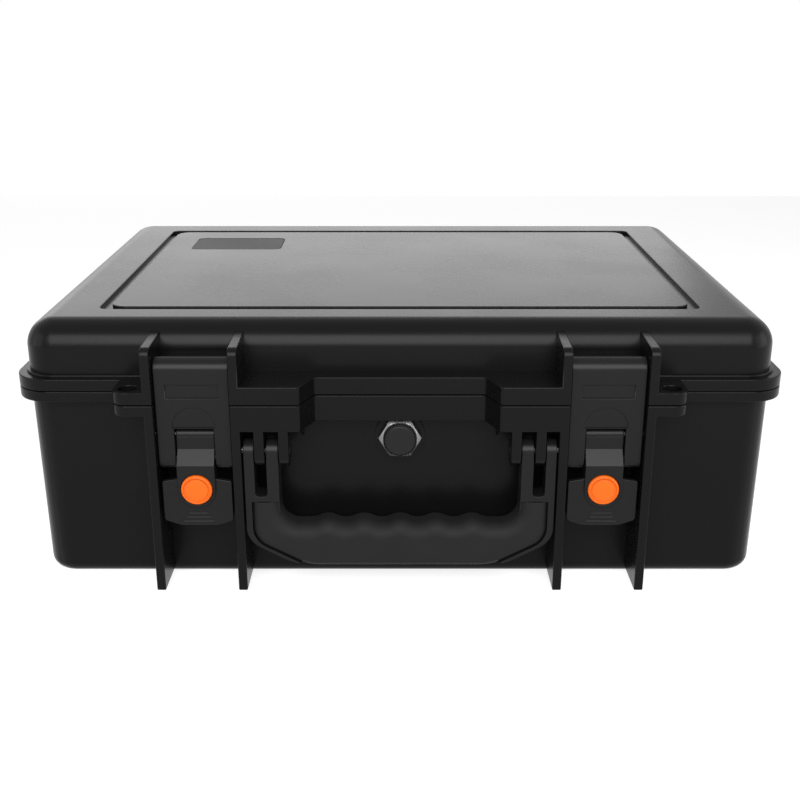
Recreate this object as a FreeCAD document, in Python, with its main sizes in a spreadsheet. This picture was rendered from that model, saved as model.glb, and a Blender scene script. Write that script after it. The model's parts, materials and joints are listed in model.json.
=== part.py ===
import FreeCAD, Part
import Sketcher
import math
import os

# Laptop hard case with a hinged lid, two over-centre latches and a folding carry handle.
# Millimetres. X runs to the right, Y from the front (latch side) to the hinge side, Z up.
# The origin is at the middle of the footprint, on the surface that the case stands on.

doc = FreeCAD.newDocument("LaptopCase")
sheet = doc.addObject("Spreadsheet::Sheet", "Sizes")

SIZES = {
    # whole case
    "case_width": 460.0,
    "rim_depth": 328.0,
    "base_height": 124.0,
    "lid_height": 40.0,
    "wall": 3.2,
    "rim_overhang": 6.0,
    "base_taper": 1.2,
    "seam_gap": 0.4,
    "cut_over": 5.0,
    "weld": 1.0,
    # rounding of the shells
    "rim_corner": 22.0,
    "shell_corner": 19.0,
    "lid_edge_round": 17.0,
    "base_edge_round": 8.0,
    # rims
    "lid_rim": 7.6,
    "base_rim": 6.6,
    "foot_step_rise": 1.2,
    "foot_step_reach": 2.0,
    # front reinforcement
    "rib_reach": 24.4,
    "rib_width": 5.4,
    "latch_offset": 119.3,
    "latch_gap": 44.0,
    "rib_lid_rise": 34.5,
    "rib_nose_round": 6.0,
    "rib_foot": 5.5,
    "bracket_rise": 11.0,
    "bracket_drop": 16.2,
    "bracket_inner": 57.7,
    "bracket_corner": 3.0,
    "beam_inner": 49.7,
    "beam_setback": 18.6,
    "tab_width": 18.4,
    "tab_corner": 8.0,
    "padlock_bore": 5.5,
    "padlock_inset": 9.3,
    "padlock_edge": 8.6,
    # lid panel
    "panel_width": 369.0,
    "panel_depth": 246.0,
    "panel_front": 64.0,
    "panel_groove": 5.4,
    "panel_groove_deep": 2.6,
    "panel_outer_corner": 6.0,
    "panel_inner_corner": 10.0,
    "panel_backing": 3.0,
    "badge_width": 67.6,
    "badge_depth": 40.6,
    "badge_corner": 4.8,
    "badge_side": 26.2,
    "badge_back": 30.7,
    "badge_recess": 0.8,
    "badge_thick": 0.7,
    # seal
    "seal_inset": 3.2,
    "seal_groove": 3.8,
    "seal_groove_deep": 4.2,
    "seal_thick": 2.0,
    "seal_ridge": 2.0,
    "seal_ridge_rise": 1.5,
    "seal_slack": 0.2,
    # hinges
    "hinge_axis_out": 6.0,
    "hinge_knuckle": 5.6,
    "hinge_pin": 2.0,
    "hinge_middle": 12.6,
    "hinge_side_gap": 0.4,
    "hinge_arm_rise": 15.0,
    "pin_slack": 0.05,
    "pin_recess": 0.3,
    # hook plate of a latch
    "plate_width": 42.8,
    "plate_setback": 5.0,
    "plate_thick": 3.2,
    "plate_rise": 25.8,
    "plate_curl": 7.5,
    "plate_slot": 23.2,
    "plate_slot_drop": 15.8,
    "moon_round": 12.4,
    "moon_deep": 0.8,
    "window_width": 30.0,
    "window_rise": 2.7,
    "window_tall": 8.0,
    "window_deep": 1.0,
    "hook_pivot_drop": 36.0,
    "hook_pivot_pin": 1.75,
    "ledge_gap": 0.35,
    "ledge_drop": 0.4,
    "ledge_thick": 5.0,
    # lever of a latch
    "crank": 14.5,
    "crank_lean": 6.0,
    "lever_pin": 2.0,
    "lever_boss": 4.8,
    "tongue_width": 22.2,
    "tongue_setback": 2.0,
    "tongue_top_setback": 7.7,
    "tongue_back": 15.0,
    "bevel_top_drop": 29.5,
    "bevel_foot_drop": 38.0,
    "button_drop": 53.1,
    "blade_width": 41.0,
    "blade_setback": 4.0,
    "blade_thick": 3.2,
    "blade_foot_drop": 76.8,
    "shoulder_drop": 47.0,
    "shoulder_fall": 1.6,
    "blade_corner_rise": 3.2,
    "blade_flange": 2.6,
    "blade_flange_deep": 12.0,
    "bar_half": 9.2,
    "bar_narrow": 1.5,
    "bar_tall": 1.1,
    "bar_proud": 0.5,
    "bar_rise": 2.7,
    "bar_step": 2.6,
    # button of a latch
    "button_round": 9.15,
    "button_slack": 0.3,
    "button_setback": 0.6,
    "button_length": 6.0,
    "button_well": 8.6,
    "button_rim": 1.6,
    "button_dish": 0.9,
    "stem_round": 2.4,
    "stem_tail": 2.2,
    "clip_round": 4.6,
    "clip_thick": 0.8,
    "clip_gap": 0.3,
    # carry handle
    "handle_pivot_drop": 30.5,
    "handle_pivot_in": 9.0,
    "handle_knuckle": 7.0,
    "handle_side_gap": 0.7,
    "fork_gap": 0.5,
    "outer_prong": 6.2,
    "lug_width": 6.0,
    "inner_prong": 7.2,
    "lug_round": 9.0,
    "fork_deep": 27.0,
    "handle_reach": 73.0,
    "handle_bar": 29.0,
    "slant_rise": 17.0,
    "slant_high_round": 14.0,
    "slant_low_round": 28.0,
    "handle_inner_corner": 11.0,
    "grip_top_gap": 3.6,
    "grip_side": 4.0,
    "grip_slant": 2.0,
    "grip_front": 1.0,
    "grip_thick": 20.0,
    "grip_round": 5.5,
    "grip_top_round": 8.5,
    "grip_core": 3.5,
    "grip_under": 2.0,
    "fork_round": 2.2,
    "handle_pin": 2.5,
    # vent valve
    "valve_drop": 29.5,
    "valve_flats": 22.3,
    "valve_hex_thick": 5.6,
    "valve_cap_round": 10.1,
    "valve_cap_thick": 3.6,
    "valve_cap_bevel": 1.4,
    "valve_stem": 7.8,
    "valve_thread_length": 12.0,
    "valve_nut_flats": 22.0,
    "valve_nut_thick": 4.6,
    "valve_seal_thick": 1.2,
    "valve_seal_width": 1.6,
    "valve_boss_round": 15.0,
    "valve_boss_rise": 1.2,
    "valve_fit": 0.1,
    # foam lining
    "foam_slack": 0.5,
    "foam_floor": 46.0,
    "foam_head_gap": 3.0,
    "foam_bottom_round": 7.0,
    "foam_side": 27.1,
    "foam_end": 20.1,
    "pocket_corner": 14.0,
    "lid_foam_thick": 22.0,
    "nut_relief": 16.0,
    "nut_relief_deep": 10.0,
    # underside
    "foot_band": 30.0,
    "foot_rise": 1.0,
}

for row, (word, number) in enumerate(SIZES.items(), start=1):
    sheet.set(f"A{row}", word)
    sheet.set(f"B{row}", repr(number))
    sheet.setAlias(f"B{row}", word)
doc.recompute()


# A size, or a sum of sizes, kept as the expression that the document binds.
class Size:
    def __init__(self, text):
        self.text = text

    def __add__(self, other):
        return Size(f"({self.text} + {as_text(other)})")

    def __radd__(self, other):
        return Size(f"({as_text(other)} + {self.text})")

    def __sub__(self, other):
        return Size(f"({self.text} - {as_text(other)})")

    def __rsub__(self, other):
        return Size(f"({as_text(other)} - {self.text})")

    def __mul__(self, other):
        return Size(f"({self.text} * {as_text(other)})")

    def __rmul__(self, other):
        return Size(f"({as_text(other)} * {self.text})")

    def __truediv__(self, other):
        return Size(f"({self.text} / {as_text(other)})")

    def __neg__(self):
        return Size(f"(0 - {self.text})")

    @property
    def now(self):
        return float(sheet.evalExpression(self.text))


def as_text(thing):
    return thing.text if isinstance(thing, Size) else repr(thing)


def as_size(thing):
    return thing if isinstance(thing, Size) else Size(repr(float(thing)))


def size(word):
    if word not in SIZES:
        raise KeyError(word)
    return Size(f"Sizes.{word}")


def bind(target, path, thing):
    target.setExpression(path, as_text(thing))


# Shares
# how near to half a width the radius of a round end comes
round_end_share = 0.98
# across the corners of a hexagon, as a share of its width across the flats
hexagon_share = 2 / math.sqrt(3)
ledge_round_share = 0.2
# how far the slanted corner of the handle falls, as a share of its run
slant_share = 0.527
# from one finger rest to the next, as a share of half the opening of the handle
finger_share = 0.306
# shares of that pitch: the height of the zigzag that the rests round off, and the radius of the rounding
finger_deep_share = 0.2336
finger_round_share = 0.56


# Places that several pieces share
wall = size("wall")
seam_gap = size("seam_gap")
cut_over = size("cut_over")
weld = size("weld")
base_height = size("base_height")
half_width = size("case_width") / 2
depth_all = size("rib_reach") + size("rim_depth") + size("hinge_axis_out") + size("hinge_knuckle")
front = -depth_all / 2
rim_front = front + size("rib_reach")
rim_back = rim_front + size("rim_depth")
rim_middle = (rim_front + rim_back) / 2
shell_width = size("case_width") - 2 * size("rim_overhang")
shell_depth = size("rim_depth") - 2 * size("rim_overhang")
shell_front = rim_front + size("rim_overhang")
shell_back = rim_back - size("rim_overhang")
base_rim_top = base_height - seam_gap / 2
lid_rim_low = base_height + seam_gap / 2
lid_top = base_height + size("lid_height")
hinge_axis = rim_back + size("hinge_axis_out")
plate_top = base_height + size("plate_rise")
plate_slot_top = base_height - size("plate_slot_drop")
window_low = base_height + size("window_rise")
window_high = window_low + size("window_tall")
hook_pivot_z = base_height - size("hook_pivot_drop")
bevel_top = base_height - size("bevel_top_drop")
bevel_foot = base_height - size("bevel_foot_drop")
button_z = base_height - size("button_drop")
blade_low = base_height - size("blade_foot_drop")
shoulder_z = base_height - size("shoulder_drop")
handle_pivot_z = base_height - size("handle_pivot_drop")
fork_low = handle_pivot_z - size("fork_deep")
handle_low = handle_pivot_z - size("handle_reach")
handle_bar_top = handle_low + size("handle_bar")
grip_high = fork_low - size("grip_top_gap")
valve_z = base_height - size("valve_drop")
latch_half_gap = size("latch_gap") / 2
rib_inner_face = size("latch_offset") - latch_half_gap
hook_knuckle_share = 0.65
hook_knuckle = size("plate_thick") + (size("plate_curl") - size("plate_thick")) * hook_knuckle_share
hook_pivot_y = front + size("plate_setback") + hook_knuckle
lean = size("crank_lean")
lever_pivot_y = hook_pivot_y + size("crank") * Size(f"sin({lean.text})")
lever_pivot_z = hook_pivot_z + size("crank") * Size(f"cos({lean.text})")
handle_pivot_y = front + size("handle_pivot_in")
prong_outer_face = rib_inner_face - size("rib_width") - size("handle_side_gap")
lug_a_face = prong_outer_face - size("outer_prong") - size("fork_gap")
inner_prong_face = lug_a_face - size("lug_width") - size("fork_gap")
handle_inner_face = inner_prong_face - size("inner_prong")
lug_b_face = handle_inner_face - size("fork_gap")
finger_pitch = handle_inner_face * finger_share
ear_face = size("latch_offset") + latch_half_gap + size("rib_width") + size("tab_width")
SIDES = {"left": -1, "right": 1}
CHECKED = []
FINGERS = 6
GRIP_BARS = 3
# two places closer than this are the same
SAME = 1e-4


# Sketch planes: which origin plane, and how the offset along its normal is written
PLANES = {"XY": "XY_Plane", "XZ": "XZ_Plane", "YZ": "YZ_Plane"}


class Piece:
    """A body whose features take their sizes from the sheet."""

    def __init__(self, name):
        self.body = doc.addObject("PartDesign::Body", name)
        self.count = 0

    def plane(self, which):
        for feature in self.body.Origin.OriginFeatures:
            if feature.Role == PLANES[which]:
                return feature
        raise RuntimeError(which)

    def sketch(self, which, offset):
        self.count += 1
        made = self.body.newObject("Sketcher::SketchObject", f"{self.body.Name}_sketch{self.count}")
        made.AttachmentSupport = [(self.plane(which), "")]
        made.MapMode = "FlatFace"
        # the normal of the XZ plane points to the front
        placed = -as_size(offset) if which == "XZ" else as_size(offset)
        bind(made, ".AttachmentOffset.Base.z", placed)
        return made

    def feature(self, kind, sketch, length, reverse=False):
        self.count += 1
        before = self.body.Tip.Shape.Volume if kind == "Pocket" else 0
        made = self.body.newObject(f"PartDesign::{kind}", f"{self.body.Name}_{kind.lower()}{self.count}")
        made.Profile = sketch
        made.Type = 0
        bind(made, "Length", length)
        made.Reversed = reverse
        made.Refine = False
        doc.recompute()
        if "Invalid" in made.State or "Error" in made.State:
            raise RuntimeError(f"{made.Name} failed: {made.getStatusString()}")
        if kind == "Pocket" and made.Shape.Volume >= before:
            raise RuntimeError(f"{made.Name} cuts nothing")
        return made

    def pad(self, which, start, length, *outlines):
        """Adds an outline swept from start by length along +X, +Y or +Z."""
        sketch = self.sketch(which, start)
        for outline in outlines:
            draw(sketch, outline)
        return self.feature("Pad", sketch, length, reverse=(which == "XZ"))

    def cut(self, which, start, length, *outlines):
        """Removes an outline swept from start by length along +X, +Y or +Z."""
        sketch = self.sketch(which, start)
        for outline in outlines:
            draw(sketch, outline)
        return self.feature("Pocket", sketch, length, reverse=(which != "XZ"))

    def drafted(self, high, low, outline, inward):
        """Adds an outline swept down from high to low, narrowing by inward on every side."""
        sketch = self.sketch("XY", high)
        draw(sketch, outline)
        made = self.feature("Pad", sketch, high - low, reverse=True)
        bind(made, "TaperAngle", Size(f"(-1 * atan({inward.text} / {(high - low).text}))"))
        doc.recompute()
        if made.Shape.isNull():
            raise RuntimeError(f"{made.Name} failed: {made.getStatusString()}")
        return made

    def round_edges(self, radius, chosen, kind="Fillet"):
        tip = self.body.Tip
        names = [f"Edge{i}" for i, edge in enumerate(tip.Shape.Edges, start=1) if chosen(edge)]
        if not names:
            raise RuntimeError(f"{self.body.Name}: no edge to round")
        self.count += 1
        made = self.body.newObject(f"PartDesign::{kind}", f"{self.body.Name}_{kind.lower()}{self.count}")
        made.Base = (tip, names)
        bind(made, "Radius" if kind == "Fillet" else "Size", radius)
        doc.recompute()
        return made


# Outlines: a list of (x, y, radius) points, or ("circle", x, y, radius)
def draw(sketch, outline):
    if outline[0] == "circle":
        draw_circle(sketch, *[as_size(part) for part in outline[1:]])
    else:
        draw_outline(sketch, [tuple(as_size(part) for part in point) for point in outline])


def hold(sketch, kind, *rest):
    """Adds a constraint whose last argument is a Size, bound by its expression."""
    thing = rest[-1]
    index = sketch.addConstraint(Sketcher.Constraint(kind, *rest[:-1], thing.now))
    sketch.setExpression(f"Constraints[{index}]", thing.text)


def draw_circle(sketch, x, y, radius):
    middle = FreeCAD.Vector(x.now, y.now, 0)
    index = sketch.addGeometry(Part.Circle(middle, FreeCAD.Vector(0, 0, 1), radius.now))
    hold(sketch, "DistanceX", -1, 1, index, 3, x)
    hold(sketch, "DistanceY", -1, 1, index, 3, y)
    hold(sketch, "Radius", index, radius)


def draw_outline(sketch, points):
    count = len(points)
    corners = [FreeCAD.Vector(x.now, y.now, 0) for x, y, radius in points]
    radii = [radius.now for x, y, radius in points]
    entries, leaves, arcs = [], [], []
    for i in range(count):
        here, before, after = corners[i], corners[i - 1], corners[(i + 1) % count]
        back = (before - here).normalize()
        ahead = (after - here).normalize()
        turn = math.acos(max(-1.0, min(1.0, back.dot(ahead))))
        if radii[i] > 0:
            reach = radii[i] / math.tan(turn / 2)
            entries.append(here + back * reach)
            leaves.append(here + ahead * reach)
            toward = (back + ahead).normalize()
            middle = here + toward * (radii[i] / math.sin(turn / 2))
            arcs.append(Part.Arc(entries[i], middle - toward * radii[i], leaves[i]))
        else:
            entries.append(here)
            leaves.append(here)
            arcs.append(None)
    lines = [sketch.addGeometry(Part.LineSegment(leaves[i], entries[(i + 1) % count])) for i in range(count)]
    marks = []
    for i, (x, y, radius) in enumerate(points):
        mark = sketch.addGeometry(Part.Point(corners[i]), True)
        marks.append(mark)
        hold(sketch, "DistanceX", -1, 1, mark, 1, x)
        hold(sketch, "DistanceY", -1, 1, mark, 1, y)
    for i, (x, y, radius) in enumerate(points):
        into, out = lines[i - 1], lines[i]
        if arcs[i] is None:
            sketch.addConstraint(Sketcher.Constraint("Coincident", into, 2, marks[i], 1))
            sketch.addConstraint(Sketcher.Constraint("Coincident", out, 1, marks[i], 1))
            continue
        sketch.addConstraint(Sketcher.Constraint("PointOnObject", marks[i], 1, into))
        sketch.addConstraint(Sketcher.Constraint("PointOnObject", marks[i], 1, out))
        arc = sketch.addGeometry(arcs[i])
        start = sketch.getPoint(arc, 1)
        forward = start.distanceToPoint(entries[i]) < start.distanceToPoint(leaves[i])
        first, last = (1, 2) if forward else (2, 1)
        sketch.addConstraint(Sketcher.Constraint("Tangent", into, 2, arc, first))
        sketch.addConstraint(Sketcher.Constraint("Tangent", out, 1, arc, last))
        hold(sketch, "Radius", arc, radius)


def rectangle(x_low, x_high, y_low, y_high, radius=0):
    low_side = [(x_low, y_low, radius), (x_high, y_low, radius)]
    return low_side + [(x_high, y_high, radius), (x_low, y_high, radius)]


def rounded(width, depth, radius, middle):
    """A rectangle about X = 0 and the given Y, with rounded corners."""
    return rectangle(-width / 2, width / 2, middle - depth / 2, middle + depth / 2, radius)


def mirrored(side, low, high):
    """The X span of a feature on one side of the case, low to high seen from the middle."""
    return (low, high) if side > 0 else (-high, -low)


def flat_at(height):
    """Chooses the edges that lie wholly at one height."""
    return lambda edge: abs(edge.BoundBox.ZMin - height) < SAME and abs(edge.BoundBox.ZMax - height) < SAME


def finish(shape_object, label, x=None):
    shape_object.Label = label
    if x is not None:
        bind(shape_object, ".Placement.Base.x", x)
    CHECKED.append(shape_object)
    return shape_object


def subtract(name, base, *tools):
    made = doc.addObject("Part::Cut", name)
    made.Base = base
    made.Refine = True
    if len(tools) > 1:
        joined = doc.addObject("Part::MultiFuse", f"{name}_tools")
        joined.Shapes = list(tools)
        made.Tool = joined
    else:
        made.Tool = tools[0]
    return made


def join(name, *shapes):
    made = doc.addObject("Part::MultiFuse", name)
    made.Shapes = list(shapes)
    return made


def rod(name, radius, length, x, y, z, axis="X"):
    """A cylinder that starts at the given point and runs along one axis."""
    made = doc.addObject("Part::Cylinder", name)
    bind(made, "Radius", radius)
    bind(made, "Height", length)
    turn = {
        "X": (FreeCAD.Vector(0, 1, 0), 90),
        "Y": (FreeCAD.Vector(1, 0, 0), -90),
        "Z": (FreeCAD.Vector(0, 0, 1), 0),
    }
    made.Placement = FreeCAD.Placement(FreeCAD.Vector(), FreeCAD.Rotation(*turn[axis]))
    for letter, place in zip("xyz", (x, y, z)):
        bind(made, f".Placement.Base.{letter}", as_size(place))
    return made


# The reinforcement in front: shapes that the base and the lid share
def middle_beam():
    """Plan of the recessed beam between the two brackets."""
    half = size("beam_inner") - size("bracket_corner")
    return rectangle(-half, half, front + size("beam_setback"), shell_front + weld)


def bracket_outline(side):
    """Plan of the bracket inside an inner rib, with its slanted end that meets the middle beam."""
    corner = size("bracket_corner")
    setback = front + size("beam_setback")
    inside = shell_front + weld
    half = size("beam_inner") - corner
    points = [
        (half, inside, 0),
        (half, setback, 0),
        (size("beam_inner"), setback, corner),
        (size("bracket_inner"), front, corner),
        (rib_inner_face, front, 0),
        (rib_inner_face, inside, 0),
    ]
    return [(side * x, y, radius) for x, y, radius in points]


def ear_outline(side):
    """Plan of the padlock ear beside an outer rib."""
    near = size("latch_offset") + latch_half_gap + size("rib_width") / 2
    corner = size("tab_corner")
    inside = shell_front + weld
    points = [(near, inside, 0), (near, front, 0), (ear_face, front, corner), (ear_face, inside, 0)]
    return [(side * x, y, radius) for x, y, radius in points]


def padlock_hole(owner, side):
    reach = size("lid_rim") + size("base_rim") + 2 * cut_over
    return rod(f"{owner}_padlock_hole", size("padlock_bore"), reach, side * (ear_face - size("padlock_edge")),
               front + size("padlock_inset"), base_height - size("base_rim") - cut_over, axis="Z")


def rib_column(side, place, low, high):
    """An outer or an inner rib seen from the front, as an upright rectangle."""
    near = size("latch_offset") + latch_half_gap if place == "outer" else rib_inner_face - size("rib_width")
    return rectangle(*mirrored(side, near, near + size("rib_width")), low, high)


def comb(name, profile, teeth):
    """A profile that runs across the case, kept only where the teeth, X spans, leave it."""
    piece = Piece(name)
    ordered = sorted(teeth, key=lambda span: span[0].now)
    first, last = ordered[0][0], ordered[-1][1]
    for outline in profile:
        piece.pad("YZ", first, last - first, outline)
    spaces = [(here[1], after[0]) for here, after in zip(ordered, ordered[1:])]
    piece.cut("XY", -cut_over, lid_top + 2 * cut_over,
              *[rectangle(low, high, front - cut_over, rim_back + 4 * cut_over) for low, high in spaces])
    return piece.body


def both_sides(spans):
    return [mirrored(side, low, high) for side in SIDES.values() for low, high in spans]


# Lid
def lid_shell():
    piece = Piece("lid_block")
    piece.pad("XY", lid_rim_low, size("lid_height") - seam_gap / 2,
              rounded(shell_width, shell_depth, size("shell_corner"), rim_middle))
    piece.round_edges(size("lid_edge_round"), flat_at(lid_top.now))
    step = 2 * size("foot_step_reach")
    piece.pad("XY", lid_rim_low, size("lid_rim") + size("foot_step_rise"),
              rounded(shell_width + step, shell_depth + step, size("shell_corner") + step / 2, rim_middle))
    piece.pad("XY", lid_rim_low, size("lid_rim") - seam_gap / 2,
              rounded(size("case_width"), size("rim_depth"), size("rim_corner"), rim_middle))
    piece.pad("XY", lid_rim_low, size("bracket_rise") - seam_gap / 2, middle_beam())
    groove = size("panel_groove")
    panel_middle = front + size("panel_front") + size("panel_depth") / 2
    piece.cut("XY", lid_top - size("panel_groove_deep"), size("panel_groove_deep") + cut_over,
              rounded(size("panel_width"), size("panel_depth"), size("panel_outer_corner"), panel_middle),
              rounded(size("panel_width") - 2 * groove, size("panel_depth") - 2 * groove,
                      size("panel_inner_corner"), panel_middle))
    piece.cut("XY", lid_top - size("badge_recess"), size("badge_recess") + cut_over, badge_outline(0))
    for name, side in SIDES.items():
        lid_ribs(name, side, piece.body)
    solid = join("lid_solid", piece.body, keeper_ledges(), lid_hinge_arms())
    seal_groove = Piece("seal_groove_ring")
    seal_groove.pad("XY", lid_rim_low - cut_over, size("seal_groove_deep") + cut_over,
                    *ring_outlines(size("seal_inset"), size("seal_groove")))
    hinge_bore = rod("lid_hinge_bore", size("hinge_pin") + size("pin_slack"), size("case_width"),
                     -half_width, hinge_axis, base_height)
    moulding = subtract("lid_moulding", solid, lid_cavity(panel_middle), seal_groove.body, hinge_bore)
    return finish(moulding, "lid_shell")


def badge_outline(slack):
    """Plan of the recess for the bare plate, near the panel's left corner at the back."""
    left = -size("panel_width") / 2 + size("badge_side")
    back = front + size("panel_front") + size("panel_depth") - size("badge_back")
    return rectangle(left + slack, left + size("badge_width") - slack,
                     back - size("badge_depth") + slack, back - slack, size("badge_corner") - slack)


def badge_plate():
    piece = Piece("badge_plate_body")
    piece.pad("XY", lid_top - size("badge_recess"), size("badge_thick"), badge_outline(seam_gap / 2))
    return finish(piece.body, "badge_plate")


def lid_ribs(name, side, block):
    """The upper parts of the two ribs at a latch, with their rounded noses, cut to the face of the lid."""
    rib_top = base_height + size("rib_lid_rise")
    nose = size("rib_nose_round")
    back = shell_front + size("lid_edge_round")
    for place in ("outer", "inner"):
        piece = Piece(f"{name}_{place}_lid_block")
        piece.pad("XZ", front, back - front, rib_column(side, place, lid_rim_low, rib_top))
        piece.cut("YZ", -half_width, 2 * half_width, [
            (front - cut_over, rib_top - nose, 0),
            (front, rib_top - nose, 0),
            (front, rib_top - weld, nose - weld),
            (back, rib_top, 0),
            (back, rib_top + cut_over, 0),
            (front - cut_over, rib_top + cut_over, 0),
        ])
        tools = [block]
        if place == "outer":
            piece.pad("XY", lid_rim_low, size("lid_rim") - seam_gap / 2, ear_outline(side))
            tools.append(padlock_hole(f"{name}_lid", side))
        else:
            piece.pad("XY", lid_rim_low, size("bracket_rise") - seam_gap / 2, bracket_outline(side))
        finish(subtract(f"{name}_{place}_lid_moulding", piece.body, *tools), f"{name}_{place}_lid_rib")


def keeper_ledges():
    """The shelves between the ribs that the hook plates' curled tops close over."""
    top = plate_top - size("plate_thick") - size("ledge_drop")
    edge = front + size("plate_setback") + size("plate_curl") + size("ledge_gap")
    inside = shell_front + wall / 2
    thick = size("ledge_thick")
    nose = thick * ledge_round_share
    profile = [(inside, top, 0), (edge, top, nose), (edge, top - thick, nose), (inside, top - 2 * thick, 0)]
    spans = [(size("latch_offset") - latch_half_gap, size("latch_offset") + latch_half_gap)]
    return comb("keeper_ledges", [profile], both_sides(spans))


def ring_outlines(inset, across):
    """Two outlines that follow the rim: inset from its edge, and as wide as across."""
    outlines = []
    for away in (inset, inset + across):
        outlines.append(rounded(size("case_width") - 2 * away, size("rim_depth") - 2 * away,
                                size("rim_corner") - away, rim_middle))
    return outlines


def lid_cavity(panel_middle):
    """The hollow of the lid, with a thicker band left under the panel's groove."""
    piece = Piece("lid_hollow")
    inner_width = shell_width - 2 * wall
    inner_depth = shell_depth - 2 * wall
    low = lid_rim_low - cut_over
    piece.pad("XY", low, lid_top - wall - low,
              rounded(inner_width, inner_depth, size("shell_corner") - wall, rim_middle))
    piece.round_edges(size("lid_edge_round") - wall, flat_at((lid_top - wall).now))
    backing = size("panel_backing")
    groove = size("panel_groove")
    deep = size("panel_groove_deep")
    piece.cut("XY", lid_top - wall - deep, deep + cut_over,
              rounded(size("panel_width") + 2 * backing, size("panel_depth") + 2 * backing,
                      size("panel_outer_corner") + backing, panel_middle),
              rounded(size("panel_width") - 2 * groove - 2 * backing,
                      size("panel_depth") - 2 * groove - 2 * backing,
                      size("panel_inner_corner") - backing, panel_middle))
    return piece.body


def lid_hinge_arms():
    """The lid's two knuckles at each hinge, on arms from its rear wall."""
    radius = size("hinge_knuckle")
    rear = hinge_axis - size("pin_slack")
    arm = [
        (shell_back - wall / 2, lid_rim_low, 0),
        (rear, lid_rim_low, 0),
        (rear, base_height + radius, 0),
        (rim_back, base_height + radius + size("lid_rim") / 2, 0),
        (shell_back, base_height + size("hinge_arm_rise"), 0),
        (shell_back - wall / 2, base_height + size("hinge_arm_rise"), 0),
    ]
    offset = size("latch_offset")
    gap = size("hinge_side_gap")
    half = size("hinge_middle") / 2
    spans = [
        (offset + half + gap, offset + latch_half_gap - gap),
        (offset - latch_half_gap + gap, offset - half - gap),
    ]
    return comb("lid_hinge_block", [arm, ("circle", hinge_axis, base_height, radius)], both_sides(spans))


# Base
def base_shell():
    piece = Piece("base_block")
    piece.drafted(base_rim_top, Size("0"),
                  rounded(shell_width, shell_depth, size("shell_corner"), rim_middle), size("base_taper"))
    piece.round_edges(size("base_edge_round"), flat_at(0))
    rim_low = base_height - size("base_rim")
    piece.pad("XY", rim_low, base_rim_top - rim_low,
              rounded(size("case_width"), size("rim_depth"), size("rim_corner"), rim_middle))
    piece.pad("XY", base_height - size("bracket_drop"), size("bracket_drop") - seam_gap / 2, middle_beam())
    ridge_inset = size("seal_inset") + (size("seal_groove") - size("seal_ridge")) / 2
    piece.pad("XY", base_rim_top - weld, size("seal_ridge_rise") + weld,
              *ring_outlines(ridge_inset, size("seal_ridge")))
    boss = ("circle", 0, valve_z, size("valve_boss_round"))
    boss_front = shell_front - size("valve_boss_rise")
    piece.pad("XZ", boss_front, size("valve_boss_rise") + size("base_taper") + wall / 2, boss)
    band = 2 * size("foot_band")
    piece.cut("XY", -cut_over, size("foot_rise") + cut_over,
              rounded(shell_width - band, shell_depth - band, size("shell_corner"), rim_middle))
    for name, side in SIDES.items():
        base_ribs(name, side, piece.body)
    hinge_bore = rod("hinge_bore", size("hinge_pin"), size("case_width"),
                     -half_width, hinge_axis, base_height)
    solid = join("base_solid", piece.body, *base_hinge_ribs())
    return finish(subtract("base_moulding", solid, base_cavity(), valve_hole(), hinge_bore), "base_shell")


def base_ribs(name, side, block):
    """The two ribs at a latch: the outer one with an ear, the inner one with the handle's bracket."""
    inside = shell_front + size("base_taper") + wall / 2
    rim_low = base_height - size("base_rim")
    low, high = mirrored(side, rib_inner_face - size("rib_width") - weld,
                         size("latch_offset") + latch_half_gap + size("rib_width") + weld)
    lever_bore = rod(f"{name}_lever_bore", size("lever_pin"), high - low, low, lever_pivot_y, lever_pivot_z)
    outer = Piece(f"{name}_outer_base_block")
    outer.pad("XZ", front, inside - front, rib_column(side, "outer", size("rib_foot"), base_rim_top))
    outer.pad("XY", rim_low, base_rim_top - rim_low, ear_outline(side))
    moulding = subtract(f"{name}_outer_base_moulding", outer.body, block, lever_bore,
                        padlock_hole(f"{name}_base", side))
    finish(moulding, f"{name}_outer_base_rib")
    inner = Piece(f"{name}_inner_base_block")
    inner.pad("XZ", front, inside - front, rib_column(side, "inner", size("rib_foot"), base_rim_top))
    drop = size("bracket_drop")
    inner.pad("XY", base_height - drop, drop - seam_gap / 2, bracket_outline(side))
    gusset_block(inner, side, inside)
    low, high = mirrored(side, handle_inner_face - cut_over - size("lug_width"), rib_inner_face + weld)
    handle_bore = rod(f"{name}_handle_bore", size("handle_pin"), high - low,
                      low, handle_pivot_y, handle_pivot_z)
    solid = join(f"{name}_inner_base_solid", inner.body, handle_lugs(name, side))
    moulding = subtract(f"{name}_inner_base_moulding", solid, block, lever_bore, handle_bore)
    finish(moulding, f"{name}_inner_base_rib")


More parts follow.
